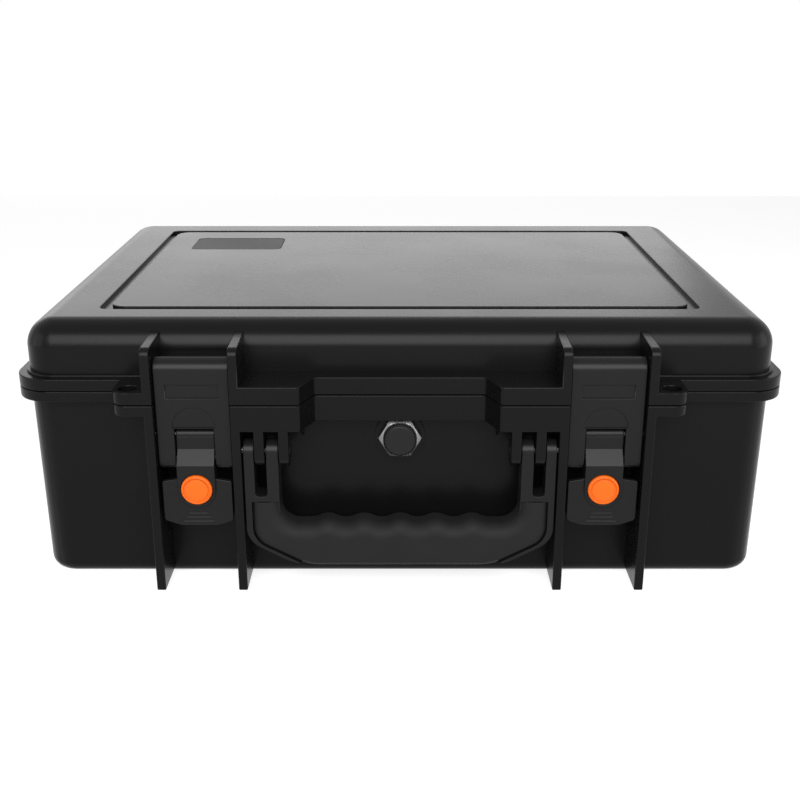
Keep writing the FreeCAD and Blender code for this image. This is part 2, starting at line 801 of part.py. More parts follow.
def base_hinge_ribs():
    """The rear ribs that carry the fixed knuckles: an outer pair and a short middle one at each hinge."""
    radius = size("hinge_knuckle")
    inside = shell_back - size("base_taper") - wall / 2
    offset = size("latch_offset")
    outer = [(offset + latch_half_gap, offset + latch_half_gap + size("rib_width")),
             (offset - latch_half_gap - size("rib_width"), offset - latch_half_gap)]
    middle = [(offset - size("hinge_middle") / 2, offset + size("hinge_middle") / 2)]
    made = []
    for name, foot, near, spans in (
            ("hinge_rib_block", size("rib_foot"), hinge_axis + radius, outer),
            ("hinge_middle_block", base_height - 2 * size("bracket_drop"), shell_back, middle)):
        rib = [
            (inside, base_rim_top, 0),
            (inside, foot, 0),
            (near, foot, 0),
            (hinge_axis + radius, base_height - size("bracket_drop"), 0),
            (hinge_axis + radius, base_height, 0),
            (rim_back + seam_gap, base_height, 0),
            (rim_back + seam_gap, base_rim_top, 0),
        ]
        if name == "hinge_rib_block":
            rib.pop(3)
        made.append(comb(name, [rib, ("circle", hinge_axis, base_height, radius)], both_sides(spans)))
    return made


def handle_lugs(name, side):
    """Two ears under a bracket that carry a pin of the handle."""
    radius = size("lug_round")
    top = base_height - size("bracket_drop") + weld
    profile = [
        (handle_pivot_y + radius, top, 0),
        (handle_pivot_y - radius, top, 0),
        (handle_pivot_y - radius, handle_pivot_z - radius, radius * round_end_share),
        (handle_pivot_y + radius, handle_pivot_z - radius, radius * round_end_share),
    ]
    return comb(f"{name}_lugs", [profile], [mirrored(side, face - size("lug_width"), face)
                                            for face in (lug_a_face, lug_b_face)])


def gusset_block(piece, side, inside):
    """The thin web that braces the inner end of a bracket against the wall."""
    top = base_height - size("bracket_drop") + weld
    low, high = mirrored(side, size("bracket_inner"), size("bracket_inner") + wall / 2)
    outer = front + size("lug_round")
    piece.pad("YZ", low, high - low,
              [(inside, top, 0), (outer, top, 0), (inside, top - size("bracket_drop"), 0)])


def base_cavity():
    """The hollow of the base, drafted like the outside."""
    piece = Piece("base_hollow")
    floor = wall + size("foot_rise")
    hollow = rounded(shell_width - 2 * wall, shell_depth - 2 * wall, size("shell_corner") - wall, rim_middle)
    piece.drafted(base_height + cut_over, floor, hollow, size("base_taper"))
    piece.round_edges(size("base_edge_round") - wall, flat_at(floor.now))
    return piece.body


def valve_hole():
    return rod("valve_hole", size("valve_stem") + size("valve_fit"), 2 * wall + 4 * size("valve_boss_rise"),
               0, shell_front - 2 * size("valve_boss_rise"), valve_z, axis="Y")


# Latch
def hook_plate(name, side):
    """The front plate of a latch: curled top, straddled slot and two round pivot ends."""
    piece = Piece(f"{name}_body")
    wide = size("plate_width")
    face = front + size("plate_setback")
    thick = size("plate_thick")
    top = plate_top
    curl = size("plate_curl")
    pivot = hook_pivot_z
    piece.pad("YZ", -wide / 2, wide, [
        (face, pivot, 0),
        (face + thick, pivot, 0),
        (face + thick, top - thick, curl - thick - seam_gap),
        (face + curl, top - thick, 0),
        (face + curl, top, 0),
        (face, top, curl - seam_gap),
    ])
    piece.pad("YZ", -wide / 2, wide, ("circle", hook_pivot_y, pivot, hook_knuckle))
    slot = size("plate_slot") / 2
    piece.cut("XZ", face - cut_over, curl + 3 * cut_over,
              rectangle(-slot, slot, pivot - hook_knuckle - cut_over, plate_slot_top))
    moon = size("moon_round")
    moon_corner = moon * round_end_share
    sill = plate_slot_top + seam_gap
    piece.cut("XZ", face - cut_over, size("moon_deep") + cut_over,
              [(-moon, sill, 0), (moon, sill, 0),
               (moon, sill + moon, moon_corner), (-moon, sill + moon, moon_corner)])
    window = size("window_width") / 2
    piece.cut("XZ", face - cut_over, size("window_deep") + cut_over,
              rectangle(-window, window, window_low, window_high))
    piece.cut("YZ", -wide, 2 * wide,
              ("circle", hook_pivot_y, pivot, size("hook_pivot_pin") + size("pin_slack")))
    return finish(piece.body, name, side * size("latch_offset"))


def lever(name, side):
    """The pull lever of a latch: a tongue that holds the button, over a broad flanged blade."""
    half = size("tongue_width") / 2
    face = front + size("tongue_setback")
    high_face = front + size("tongue_top_setback")
    back = front + size("tongue_back")
    low = button_z - half
    shaft = Piece(f"{name}_tongue_side")
    shaft.pad("YZ", -half, 2 * half, [
        (high_face, lever_pivot_z, 0),
        (high_face, bevel_top, 0),
        (face, bevel_foot, 0),
        (face, low, 0),
        (back, low, 0),
        (back, bevel_foot, 0),
        (lever_pivot_y + size("lever_boss"), bevel_top, 0),
        (lever_pivot_y + size("lever_boss"), lever_pivot_z, 0),
    ])
    shaft.pad("YZ", -half, 2 * half, ("circle", lever_pivot_y, lever_pivot_z, size("lever_boss")))
    outline = Piece(f"{name}_tongue_front")
    outline.pad("XZ", front, 2 * size("tongue_back"), [
        (-half, low, half * round_end_share), (half, low, half * round_end_share),
        (half, lever_pivot_z + 2 * half, 0), (-half, lever_pivot_z + 2 * half, 0),
    ])
    tongue = doc.addObject("Part::Common", f"{name}_tongue")
    tongue.Base = shaft.body
    tongue.Tool = outline.body
    blade = Piece(f"{name}_blade")
    wide = size("blade_width") / 2
    blade_face = front + size("blade_setback")
    shoulder = shoulder_z
    foot = blade_low
    corner = foot + size("blade_corner_rise")
    flange = size("blade_flange")
    blade.pad("XZ", blade_face, size("blade_thick"), [
        (-wide, shoulder - size("shoulder_fall"), flange / 2),
        (-wide, corner, flange),
        (-half, foot, half),
        (half, foot, half),
        (wide, corner, flange),
        (wide, shoulder - size("shoulder_fall"), flange / 2),
        (half, shoulder, 0),
        (-half, shoulder, 0),
    ])
    for step in range(GRIP_BARS):
        reach = size("bar_half") - step * size("bar_narrow")
        rise = foot + size("bar_rise") + step * size("bar_step")
        blade.pad("XZ", blade_face - size("bar_proud"), size("bar_proud") + weld,
                  rectangle(-reach, reach, rise - size("bar_tall") / 2, rise + size("bar_tall") / 2))
    for turned in SIDES.values():
        a, b = mirrored(turned, wide - flange, wide)
        blade.pad("XZ", blade_face + flange / 2, size("blade_flange_deep"),
                  rectangle(a, b, corner + flange, shoulder - 2 * flange))
    solid = join(f"{name}_solid", tongue, blade.body)
    well_start = front - cut_over
    well = rod(f"{name}_well", size("button_round") + size("button_slack"),
               size("tongue_setback") + size("button_well") + cut_over, 0, well_start,
               button_z, axis="Y")
    passage = rod(f"{name}_passage", size("stem_round") + size("button_slack"),
                  2 * size("tongue_back"), 0, front, button_z, axis="Y")
    pivot = rod(f"{name}_pivot_hole", size("lever_pin") + size("pin_slack"), 2 * size("blade_width"),
                -size("blade_width"), lever_pivot_y, lever_pivot_z)
    crank = rod(f"{name}_crank_hole", size("hook_pivot_pin"), 2 * size("blade_width"),
                -size("blade_width"), hook_pivot_y, hook_pivot_z)
    return finish(subtract(f"{name}_moulding", solid, well, passage, pivot, crank), name,
                  side * size("latch_offset"))


def button(name, side):
    """The round push button: raised rim, dished face, stem and clip groove."""
    start = front + size("button_setback")
    radius = size("button_round")
    inner = radius - size("button_rim")
    dish = size("button_dish")
    length = size("button_length")
    stem = size("stem_round")
    web_back = size("tongue_back")
    tail = front + web_back + size("clip_gap") + size("clip_thick") + size("stem_tail")
    piece = Piece(f"{name}_body")
    sketch = piece.sketch("YZ", 0)
    z = button_z
    draw(sketch, [
        (start + 2 * dish, z, 0),
        (start + 2 * dish, z + inner / 2, 0),
        (start + dish, z + inner, 0),
        (start, z + inner + dish / 2, 0),
        (start, z + radius - dish, 0),
        (start + dish, z + radius, 0),
        (start + length, z + radius, 0),
        (start + length, z + stem, 0),
        (tail, z + stem, 0),
        (tail, z, 0),
    ])
    axis = sketch.addGeometry(Part.LineSegment(FreeCAD.Vector(start.now, z.now, 0),
                                               FreeCAD.Vector(tail.now, z.now, 0)), True)
    hold(sketch, "DistanceX", -1, 1, axis, 1, start)
    hold(sketch, "DistanceY", -1, 1, axis, 1, z)
    hold(sketch, "DistanceX", -1, 1, axis, 2, tail)
    sketch.addConstraint(Sketcher.Constraint("Horizontal", axis))
    turned = piece.body.newObject("PartDesign::Revolution", f"{name}_turned")
    turned.Profile = sketch
    turned.ReferenceAxis = (sketch, ["Axis0"])
    turned.Angle = 360
    doc.recompute()
    return finish(piece.body, name, side * size("latch_offset"))


def button_clip(name, side):
    """The spring clip that keeps the button's stem behind the lever."""
    y = front + size("tongue_back") + size("clip_gap")
    ring = rod(f"{name}_ring", size("clip_round"), size("clip_thick"), 0, y, button_z, axis="Y")
    hole = rod(f"{name}_hole", size("stem_round"), 2 * size("clip_thick"), 0, y - size("clip_thick") / 2,
               button_z, axis="Y")
    return finish(subtract(f"{name}_part", ring, hole), name, side * size("latch_offset"))


# Carry handle
def handle_outline(out, slant_in, high, low, top):
    """A U seen from the front, whose outside lies inside the full outline by out at its arms."""
    edge = prong_outer_face - out
    slant_top = handle_low + size("slant_rise") + slant_in
    shoulder = slant_top - slant_share * out
    foot = prong_outer_face - (slant_top - low) / slant_share
    left = [
        (-edge, high, 0),
        (-edge, shoulder, size("slant_high_round")),
        (-foot, low, size("slant_low_round")),
    ]
    right = [(-x, z, radius) for x, z, radius in reversed(left)]
    return left + right + [(handle_inner_face, high, 0)] + top + [(-handle_inner_face, high, 0)]


def plain_bar(height):
    """The inside of the U with a straight bar."""
    corner = size("handle_inner_corner")
    return [(handle_inner_face, height, corner), (-handle_inner_face, height, corner)]


def finger_bar():
    """The inside of the U with a bar that rises between the finger rests."""
    deep = finger_pitch * finger_deep_share
    radius = finger_pitch * finger_round_share
    crest = handle_bar_top + deep / 4
    rest = handle_bar_top - deep / 2
    last = (FINGERS - 2) / 2
    run = (crest - rest) / (2 * finger_deep_share)
    half = [(handle_inner_face, rest, size("handle_inner_corner")), (finger_pitch * last + run, rest, radius)]
    spots = []
    for step in range(2 * FINGERS - 3):
        height = crest if step % 2 == 0 else crest - deep
        spots.append((finger_pitch * (last - step / 2), height, radius))
    return half + spots + [(-x, z, corner) for x, z, corner in reversed(half)]


def grip_block():
    """The soft grip as one rounded U with finger rests along its top."""
    piece = Piece("grip_block")
    start = front + size("grip_front")
    thick = size("grip_thick")
    piece.pad("XZ", start, thick,
              handle_outline(size("grip_side"), size("grip_slant"), grip_high, handle_low, finger_bar()))
    low_y = start.now
    high_y = (start + thick).now
    top = grip_high.now
    inside = handle_inner_face.now + SAME
    under = (handle_bar_top - size("handle_bar") / 2).now

    def on_face(edge, level):
        box = edge.BoundBox
        return abs(box.YMin - level) < SAME and abs(box.YMax - level) < SAME and box.ZMin < top - SAME

    def around_opening(edge):
        box = edge.BoundBox
        return max(-box.XMin, box.XMax) < inside and box.ZMin > under

    piece.round_edges(size("grip_top_round"), lambda edge: on_face(edge, low_y) and around_opening(edge))
    piece.round_edges(size("grip_round"), lambda edge: on_face(edge, high_y) or
                      (on_face(edge, low_y) and edge.BoundBox.ZMin < under) or
                      (on_face(edge, low_y) and max(-edge.BoundBox.XMin, edge.BoundBox.XMax) > inside))
    return piece.body


def handle_frame():
    """The rigid handle: forked arms and a slim core inside the grip."""
    piece = Piece("handle_block")
    thick = 2 * size("handle_knuckle")
    start = handle_pivot_y - size("handle_knuckle")
    piece.pad("XZ", start, thick,
              handle_outline(0, 0, handle_pivot_z, handle_low + size("grip_under"),
                             plain_bar(handle_bar_top - 2 * size("grip_core"))))
    fork_round = size("fork_round")
    for side in SIDES.values():
        low, high = mirrored(side, handle_inner_face, prong_outer_face)
        piece.pad("YZ", low, high - low,
                  ("circle", handle_pivot_y, handle_pivot_z, size("handle_knuckle")))
        low, high = mirrored(side, inner_prong_face, prong_outer_face - size("outer_prong"))
        fork_high = handle_pivot_z + 2 * size("lug_round")
        fork_foot = [(low, fork_low, fork_round), (high, fork_low, fork_round)]
        piece.cut("XZ", start - cut_over, thick + 2 * cut_over,
                  fork_foot + [(high, fork_high, 0), (low, fork_high, 0)])
        low, high = mirrored(side, handle_inner_face - cut_over, prong_outer_face + cut_over)
        piece.cut("YZ", low, high - low,
                  ("circle", handle_pivot_y, handle_pivot_z, size("handle_pin") + size("pin_slack")))
    return piece.body


def handle_parts():
    frame_block = handle_frame()
    # channels in the frame that the grip fills, leaving a core between them
    thick = 2 * size("handle_knuckle")
    core = size("grip_core")
    start = handle_pivot_y - size("handle_knuckle")
    inside = handle_outline(size("grip_side"), size("grip_slant"), grip_high, handle_low,
                            plain_bar(handle_bar_top))
    front_channel = Piece("grip_front_channel")
    front_channel.pad("XZ", start - cut_over, cut_over + core, inside)
    back_channel = Piece("grip_back_channel")
    back_channel.pad("XZ", start + thick - core, cut_over + core, inside)
    frame = finish(subtract("handle_moulding", frame_block, front_channel.body, back_channel.body),
                   "handle_frame")
    finish(subtract("grip_moulding", grip_block(), frame), "handle_grip")


# Pins
def pins():
    recess = size("pin_recess")
    for name, side in SIDES.items():
        offset = size("latch_offset")
        low, high = mirrored(side, offset - latch_half_gap - size("rib_width") + recess,
                             offset + latch_half_gap + size("rib_width") - recess)
        finish(rod(f"{name}_lever_rod", size("lever_pin"), high - low, low, lever_pivot_y, lever_pivot_z),
               f"{name}_lever_pin")
        finish(rod(f"{name}_hinge_rod", size("hinge_pin"), high - low, low, hinge_axis, base_height),
               f"{name}_hinge_pin")
        low, high = mirrored(side, lug_b_face - size("lug_width") + recess, rib_inner_face - recess)
        finish(rod(f"{name}_handle_rod", size("handle_pin"), high - low, low, handle_pivot_y,
                   handle_pivot_z), f"{name}_handle_pin")
        low, high = mirrored(side, offset - size("plate_width") / 2 + recess,
                             offset + size("plate_width") / 2 - recess)
        finish(rod(f"{name}_hook_rod", size("hook_pivot_pin"), high - low, low, hook_pivot_y,
                   hook_pivot_z), f"{name}_hook_pin")


# Vent valve
def hexagon(flats, z):
    reach = flats / 2
    tip = reach * hexagon_share
    return [(tip, z, 0), (tip / 2, z + reach, 0), (-tip / 2, z + reach, 0),
            (-tip, z, 0), (-tip / 2, z - reach, 0), (tip / 2, z - reach, 0)]


def valve():
    z = valve_z
    seat = shell_front - size("valve_boss_rise")
    flange_back = seat
    hex_front = flange_back - size("valve_hex_thick")
    piece = Piece("valve_hex")
    piece.pad("XZ", hex_front, size("valve_hex_thick"), hexagon(size("valve_flats"), z))
    reach = size("valve_hex_thick") + size("valve_boss_rise") + size("valve_thread_length")
    piece.pad("XZ", hex_front, reach, ("circle", 0, z, size("valve_stem")))
    seal_out = size("valve_stem") + size("valve_fit") + size("valve_seal_width")
    piece.cut("XZ", flange_back - size("valve_seal_thick"), size("valve_seal_thick") + cut_over,
              ("circle", 0, z, seal_out), ("circle", 0, z, size("valve_stem")))
    finish(piece.body, "valve_body")
    cap = Piece("valve_cap_body")
    cap.pad("XZ", hex_front - size("valve_cap_thick"), size("valve_cap_thick"),
            ("circle", 0, z, size("valve_cap_round")))
    face = (hex_front - size("valve_cap_thick")).now
    cap.round_edges(size("valve_cap_bevel"),
                    lambda edge: abs(edge.BoundBox.YMax - face) < SAME, kind="Chamfer")
    finish(cap.body, "valve_cap")
    ring = rod("valve_seal_ring", seal_out, size("valve_seal_thick"), 0,
               flange_back - size("valve_seal_thick"), z, axis="Y")
    bore = rod("valve_seal_bore", size("valve_stem"), 2 * size("valve_seal_thick"), 0,
               flange_back - 3 * size("valve_seal_thick") / 2, z, axis="Y")
    finish(subtract("valve_seal_part", ring, bore), "valve_seal")
    nut = Piece("valve_nut_body")
    nut_face = shell_front + size("base_taper") + wall
    nut.pad("XZ", nut_face, size("valve_nut_thick"), hexagon(size("valve_nut_flats"), z))
    nut.cut("XZ", nut_face - cut_over, size("valve_nut_thick") + 2 * cut_over,
            ("circle", 0, z, size("valve_stem")))
    finish(nut.body, "valve_nut")


# Seal and foam
def seal():
    piece = Piece("lid_seal_body")
    slack = size("seal_slack")
    top = lid_rim_low + size("seal_groove_deep")
    piece.pad("XY", top - size("seal_thick"), size("seal_thick"),
              *ring_outlines(size("seal_inset") + slack, size("seal_groove") - 2 * slack))
    return finish(piece.body, "lid_seal")


def foam():
    slack = 2 * (wall + size("foam_slack") + size("base_taper"))
    width = shell_width - slack
    depth = shell_depth - slack
    corner = size("shell_corner") - wall
    floor = wall + size("foot_rise")
    pad = Piece("floor_pad_body")
    pad.pad("XY", floor, size("foam_floor"), rounded(width, depth, corner, rim_middle))
    pad.round_edges(size("foam_bottom_round"), flat_at(floor.now))
    finish(pad.body, "base_floor_pad")
    frame = Piece("foam_frame_body")
    low = floor + size("foam_floor")
    pocket = rounded(width - 2 * size("foam_side"), depth - 2 * size("foam_end"),
                     size("pocket_corner"), rim_middle)
    frame.pad("XY", low, base_height - size("foam_head_gap") - low,
              rounded(width, depth, corner, rim_middle), pocket)
    relief = size("nut_relief")
    frame.cut("XZ", shell_front, wall + size("nut_relief_deep"),
              rectangle(-relief, relief, valve_z - relief, valve_z + relief))
    finish(frame.body, "base_foam")
    lid = Piece("lid_foam_body")
    gap = 2 * (wall + size("foam_slack"))
    top = lid_top - wall - size("panel_groove_deep")
    lid.pad("XY", top - size("lid_foam_thick"), size("lid_foam_thick"),
            rounded(shell_width - gap, shell_depth - gap, corner, rim_middle))
    lid.round_edges(size("lid_edge_round") - wall, flat_at(top.now))
    finish(lid.body, "lid_foam")


base_shell()
lid_shell()
badge_plate()
for name, side in SIDES.items():
    hook_plate(f"{name}_hook", side)
    lever(f"{name}_lever", side)
    button(f"{name}_button", side)
    button_clip(f"{name}_button_clip", side)
handle_parts()
pins()
valve()
seal()
foam()
doc.recompute()

for thing in doc.Objects:
    if "Invalid" in thing.State or "Error" in thing.State:
        raise RuntimeError(f"{thing.Name} failed: {thing.State}")
os.makedirs("parts", exist_ok=True)
for thing in CHECKED:
    shape = thing.Shape
    if shape.isNull() or not shape.isValid() or not shape.Solids:
        raise RuntimeError(f"{thing.Label} is not a valid solid")
    shape.exportStep(f"parts/{thing.Label}.step")
    box = shape.BoundBox
    spans = [f"{low:8.2f} {high:8.2f}" for low, high in
             ((box.XMin, box.XMax), (box.YMin, box.YMax), (box.ZMin, box.ZMax))]
    print(f"{thing.Label:20s} solids {len(shape.Solids)}  volume {shape.Volume / 1000:9.2f} cm3 ", *spans)
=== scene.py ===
import json
import math

import bmesh
import bpy
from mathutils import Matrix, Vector
from mathutils.bvhtree import BVHTree


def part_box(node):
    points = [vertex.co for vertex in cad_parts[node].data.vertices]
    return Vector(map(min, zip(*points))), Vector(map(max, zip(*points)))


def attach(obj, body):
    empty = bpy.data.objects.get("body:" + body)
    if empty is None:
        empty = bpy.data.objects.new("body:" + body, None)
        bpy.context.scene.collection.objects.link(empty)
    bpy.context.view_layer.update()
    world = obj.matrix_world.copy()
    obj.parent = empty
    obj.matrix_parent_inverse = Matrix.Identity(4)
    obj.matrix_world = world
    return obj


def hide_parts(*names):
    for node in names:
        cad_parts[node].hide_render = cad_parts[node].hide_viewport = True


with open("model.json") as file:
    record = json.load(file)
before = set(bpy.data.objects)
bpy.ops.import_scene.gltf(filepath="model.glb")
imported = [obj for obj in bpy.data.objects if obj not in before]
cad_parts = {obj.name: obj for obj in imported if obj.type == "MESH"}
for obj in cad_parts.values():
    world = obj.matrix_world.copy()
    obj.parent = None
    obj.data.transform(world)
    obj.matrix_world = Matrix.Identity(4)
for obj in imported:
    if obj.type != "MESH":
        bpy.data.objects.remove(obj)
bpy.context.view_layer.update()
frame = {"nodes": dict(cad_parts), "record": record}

# Finishes and soft parts of a laptop hard case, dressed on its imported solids.
# Metres. X runs to the right, Y from the latch side to the hinge side, Z up.
bl_info = {
    "name": "Laptop hard case",
    "version": (1, 0, 0),
    "blender": (4, 5, 0),
    "location": "View3D > Sidebar > Case",
    "description": "Dresses a moulded laptop case with its plastics, foam lining and studio",
    "category": "Object",
}

NODES = frame["nodes"]
SLOT_OF = {part["node"]: part["material_slot"] for part in frame["record"]["subparts"]}
BODY_OF = {node: body for body, nodes in frame["record"]["behaviour"]["bodies"].items() for node in nodes}


class CaseSizes(bpy.types.PropertyGroup):
    """Sizes that a user would change."""

    shell_edge: bpy.props.FloatProperty(
        name="Shell edge", description="Rounding of the edges of the shells and their ribs",
        default=0.0007, min=0.0, unit="LENGTH")
    latch_edge: bpy.props.FloatProperty(
        name="Latch edge", description="Rounding of the edges of the latches, the handle frame and its grip",
        default=0.0005, min=0.0, unit="LENGTH")
    fine_edge: bpy.props.FloatProperty(
        name="Fine edge", description="Rounding of the edges of the buttons and the valve",
        default=0.00035, min=0.0, unit="LENGTH")
    foam_corner: bpy.props.FloatProperty(
        name="Foam corner", description="Corner radius of the foam lining, seen from above",
        default=0.018, min=0.001, unit="LENGTH")
    foam_pitch: bpy.props.FloatProperty(
        name="Foam pitch", description="Length of one wave of the lid foam",
        default=0.036, min=0.01, unit="LENGTH")
    foam_wave: bpy.props.FloatProperty(
        name="Foam wave", description="From peak to valley of the lid foam",
        default=0.011, min=0.0, unit="LENGTH")
    foam_lip: bpy.props.FloatProperty(
        name="Foam lip", description="Rounding of the cut edges of the base foam",
        default=0.003, min=0.0, unit="LENGTH")


class CaseColours(bpy.types.PropertyGroup):
    """Colours that a user would change."""

    shell: bpy.props.FloatVectorProperty(
        name="Shell", description="Moulded plastic of the lid and the base",
        default=(0.0036, 0.0036, 0.0038), subtype="COLOR", min=0, max=1)
    latch: bpy.props.FloatVectorProperty(
        name="Latch", description="Satin plastic of the latches, the handle frame and the valve's cap",
        default=(0.0078, 0.0078, 0.0080), subtype="COLOR", min=0, max=1)
    grip: bpy.props.FloatVectorProperty(
        name="Grip", description="Soft plastic of the handle grip",
        default=(0.0100, 0.0100, 0.0102), subtype="COLOR", min=0, max=1)
    button: bpy.props.FloatVectorProperty(
        name="Button", description="Orange plastic of the push buttons",
        default=(0.72, 0.120, 0.009), subtype="COLOR", min=0, max=1)
    foam: bpy.props.FloatVectorProperty(
        name="Foam", description="Charcoal foam of the lining",
        default=(0.030, 0.030, 0.032), subtype="COLOR", min=0, max=1)
    floor: bpy.props.FloatVectorProperty(
        name="Floor", description="Studio floor",
        default=(0.58, 0.58, 0.58), subtype="COLOR", min=0, max=1)


# Node trees
class Wire:
    """An output socket whose arithmetic adds Math nodes to its tree."""

    def __init__(self, kit, socket):
        self.kit = kit
        self.socket = socket

    def maths(self, operation, *things):
        return self.kit.add("ShaderNodeMath", {"operation": operation}, dict(enumerate(things)))

    def __add__(self, other):
        return self.maths("ADD", self, other)

    def __radd__(self, other):
        return self.maths("ADD", other, self)

    def __sub__(self, other):
        return self.maths("SUBTRACT", self, other)

    def __rsub__(self, other):
        return self.maths("SUBTRACT", other, self)

    def __mul__(self, other):
        return self.maths("MULTIPLY", self, other)

    def __truediv__(self, other):
        return self.maths("DIVIDE", self, other)

    def __rtruediv__(self, other):
        return self.maths("DIVIDE", other, self)

    def sine(self):
        return self.maths("SINE", self)

    def root(self):
        return self.maths("SQRT", self)

    def sign(self):
        return self.maths("SIGN", self)

    def size(self):
        return self.maths("ABSOLUTE", self)

    def at_least(self, other):
        return self.maths("MAXIMUM", self, other)

    def at_most(self, other):
        return self.maths("MINIMUM", self, other)


class Kit:
    """A node tree under construction."""

    def __init__(self, tree):
        self.tree = tree

    def add(self, kind, settings=None, sockets=None, out=0):
        """Makes one node: its settings first, then its sockets by identifier, name or number."""
        node = self.tree.nodes.new(kind)
        for word, value in (settings or {}).items():
            setattr(node, word, value)
        for key, value in (sockets or {}).items():
            self.feed(self.find(node.inputs, key), value)
        return Wire(self, self.find(node.outputs, out))

    def split(self, vector):
        """The three parts of a vector."""
        node = self.tree.nodes.new("ShaderNodeSeparateXYZ")
        self.feed(node.inputs[0], vector)
        return [Wire(self, socket) for socket in node.outputs]

    @staticmethod
    def find(sockets, key):
        """The socket with this number, identifier or name."""
        if isinstance(key, int):
            return sockets[key]
        for socket in sockets:
            if socket.identifier == key:
                return socket
        return sockets[key]

    def feed(self, socket, value):
        """Links a wire to the socket, or sets the socket's own value."""
        if isinstance(value, Wire):
            self.tree.links.new(value.socket, socket)
        else:
            socket.default_value = value


FLOAT = "NodeSocketFloat"
SOLID = "NodeSocketMaterial"


def geometry_tree(name, inputs):
    """(node kit, wires of the named inputs, socket for the result) of a new geometry tree."""
    tree = bpy.data.node_groups.new(name, "GeometryNodeTree")
    tree.interface.new_socket("Geometry", in_out="OUTPUT", socket_type="NodeSocketGeometry")
    for word, kind in inputs.items():
        tree.interface.new_socket(word, in_out="INPUT", socket_type=kind)
    kit = Kit(tree)
    start = tree.nodes.new("NodeGroupInput")
    end = tree.nodes.new("NodeGroupOutput")
    wires = {word: Wire(kit, start.outputs[word]) for word in inputs}
    return kit, wires, end.inputs["Geometry"]


def new_material(name):
    """A material with a Principled shader: its node kit, the shader's sockets and Object coordinates."""
    made = bpy.data.materials.new(name)
    made.use_nodes = True
    kit = Kit(made.node_tree)
    sockets = made.node_tree.nodes["Principled BSDF"].inputs
    where = kit.add("ShaderNodeTexCoord", out="Object")
    return made, kit, sockets, where


def noise(kit, where, grain, detail, rough=0.5):
    """A noise from 0 to 1 whose patches are about as wide as grain."""
    return kit.add("ShaderNodeTexNoise", None,
                   {"Vector": where, "Scale": 1 / grain, "Detail": detail, "Roughness": rough})


def mixed(kit, factor, first, second):
    """A colour between two colours."""
    return kit.add("ShaderNodeMix", {"data_type": "RGBA"},
                   {"Factor_Float": factor, "A_Color": first, "B_Color": second}, out="Result_Color")


def rgba(colour, share=1.0):
    """A share of the colour, as a colour socket takes it."""
    return tuple(channel * share for channel in colour) + (1.0,)


def tint(kit, shader, pattern, colour, darkest, lightest):
    """Lets a pattern from 0 to 1 darken and lighten the colour between two shares of it."""
    kit.feed(shader["Base Color"], mixed(kit, pattern, rgba(colour, darkest), rgba(colour, lightest)))


def swing(pattern, width):
    """A pattern from 0 to 1 as a change of half the width either way."""
    return (pattern - 0.5) * width


def dimple(kit, shader, pattern, deep, strength):
    """Lets a pattern from 0 to 1 stand up from the surface by as much as deep."""
    bump = kit.add("ShaderNodeBump", None, {"Strength": strength, "Distance": deep, "Height": pattern})
    kit.feed(shader["Normal"], bump)


def seen_or_mirrored(kit):
    """1 for rays from the camera, in gloss and through glass, and 0 for the rest."""
    path = kit.tree.nodes.new("ShaderNodeLightPath")
    camera, gloss, glass = (Wire(kit, path.outputs[word]) for word in
                            ("Is Camera Ray", "Is Glossy Ray", "Is Transmission Ray"))
    return (camera + gloss + glass).at_most(1)


# Materials
def moulded_plastic(name, colour, roughness, texture_deep, texture_grain, gloss):
    """Satin plastic with a fine moulded texture, faint flow patches and small scuffs."""
    made, kit, shader, where = new_material(name)
    patches = noise(kit, where, grain=0.060, detail=3.0)
    scuffs = noise(kit, where, grain=0.004, detail=4.0, rough=0.6)
    texture = noise(kit, where, texture_grain, detail=1.0)
    tint(kit, shader, patches, colour, darkest=0.90, lightest=1.12)
    kit.feed(shader["Roughness"], roughness + swing(patches, width=0.08) + swing(scuffs, width=0.05))
    dimple(kit, shader, texture, texture_deep, strength=1.0)
    shader["IOR"].default_value = 1.49
    shader["Specular IOR Level"].default_value = gloss
    return made


def foam_material(name, colour):
    """Open-cell foam: round pores of two sizes, darkened inside with painted shade, with a dusty sheen."""
    large_pore, small_pore = 0.0022, 0.0009
    made, kit, shader, where = new_material(name)
    large, small = (kit.add("ShaderNodeTexVoronoi", {"feature": "F1"},
                            {"Vector": where, "Scale": 1 / pore}, out="Distance")
                    for pore in (large_pore, small_pore))
    cells = (large * 0.65 + small * 0.35).at_most(1)
    patches = noise(kit, where, grain=0.03, detail=3.0)
    # painted shade: the colour darkens towards the middle of each pore, where the bump sinks it, mixed with
    # random patches of tone
    light = (cells * 0.75 + patches * 0.25).at_most(1)
    tint(kit, shader, light, colour, darkest=0.45, lightest=1.7)
    kit.feed(shader["Roughness"], 0.88 + patches * 0.1)
    dimple(kit, shader, cells, deep=0.0006, strength=0.8)
    shader["Specular IOR Level"].default_value = 0.25
    shader["Sheen Weight"].default_value = 0.25
    shader["Sheen Roughness"].default_value = 0.6
    return made


def metal(name, colour, roughness):
    """Turned metal with fine lathe marks and small stains."""
    marks_per_metre = (40, 1200, 1200)
    made, kit, shader, where = new_material(name)
    stretched = kit.add("ShaderNodeMapping", None, {"Vector": where, "Scale": marks_per_metre})
    marks = noise(kit, stretched, grain=1.0, detail=2.0)
    stains = noise(kit, where, grain=0.006, detail=4.0)
    tint(kit, shader, stains, colour, darkest=0.8, lightest=1.1)
    kit.feed(shader["Roughness"], roughness + swing(marks, width=0.16) + swing(stains, width=0.1))
    dimple(kit, shader, marks, deep=0.00001, strength=0.5)
    shader["Metallic"].default_value = 1.0
    return made


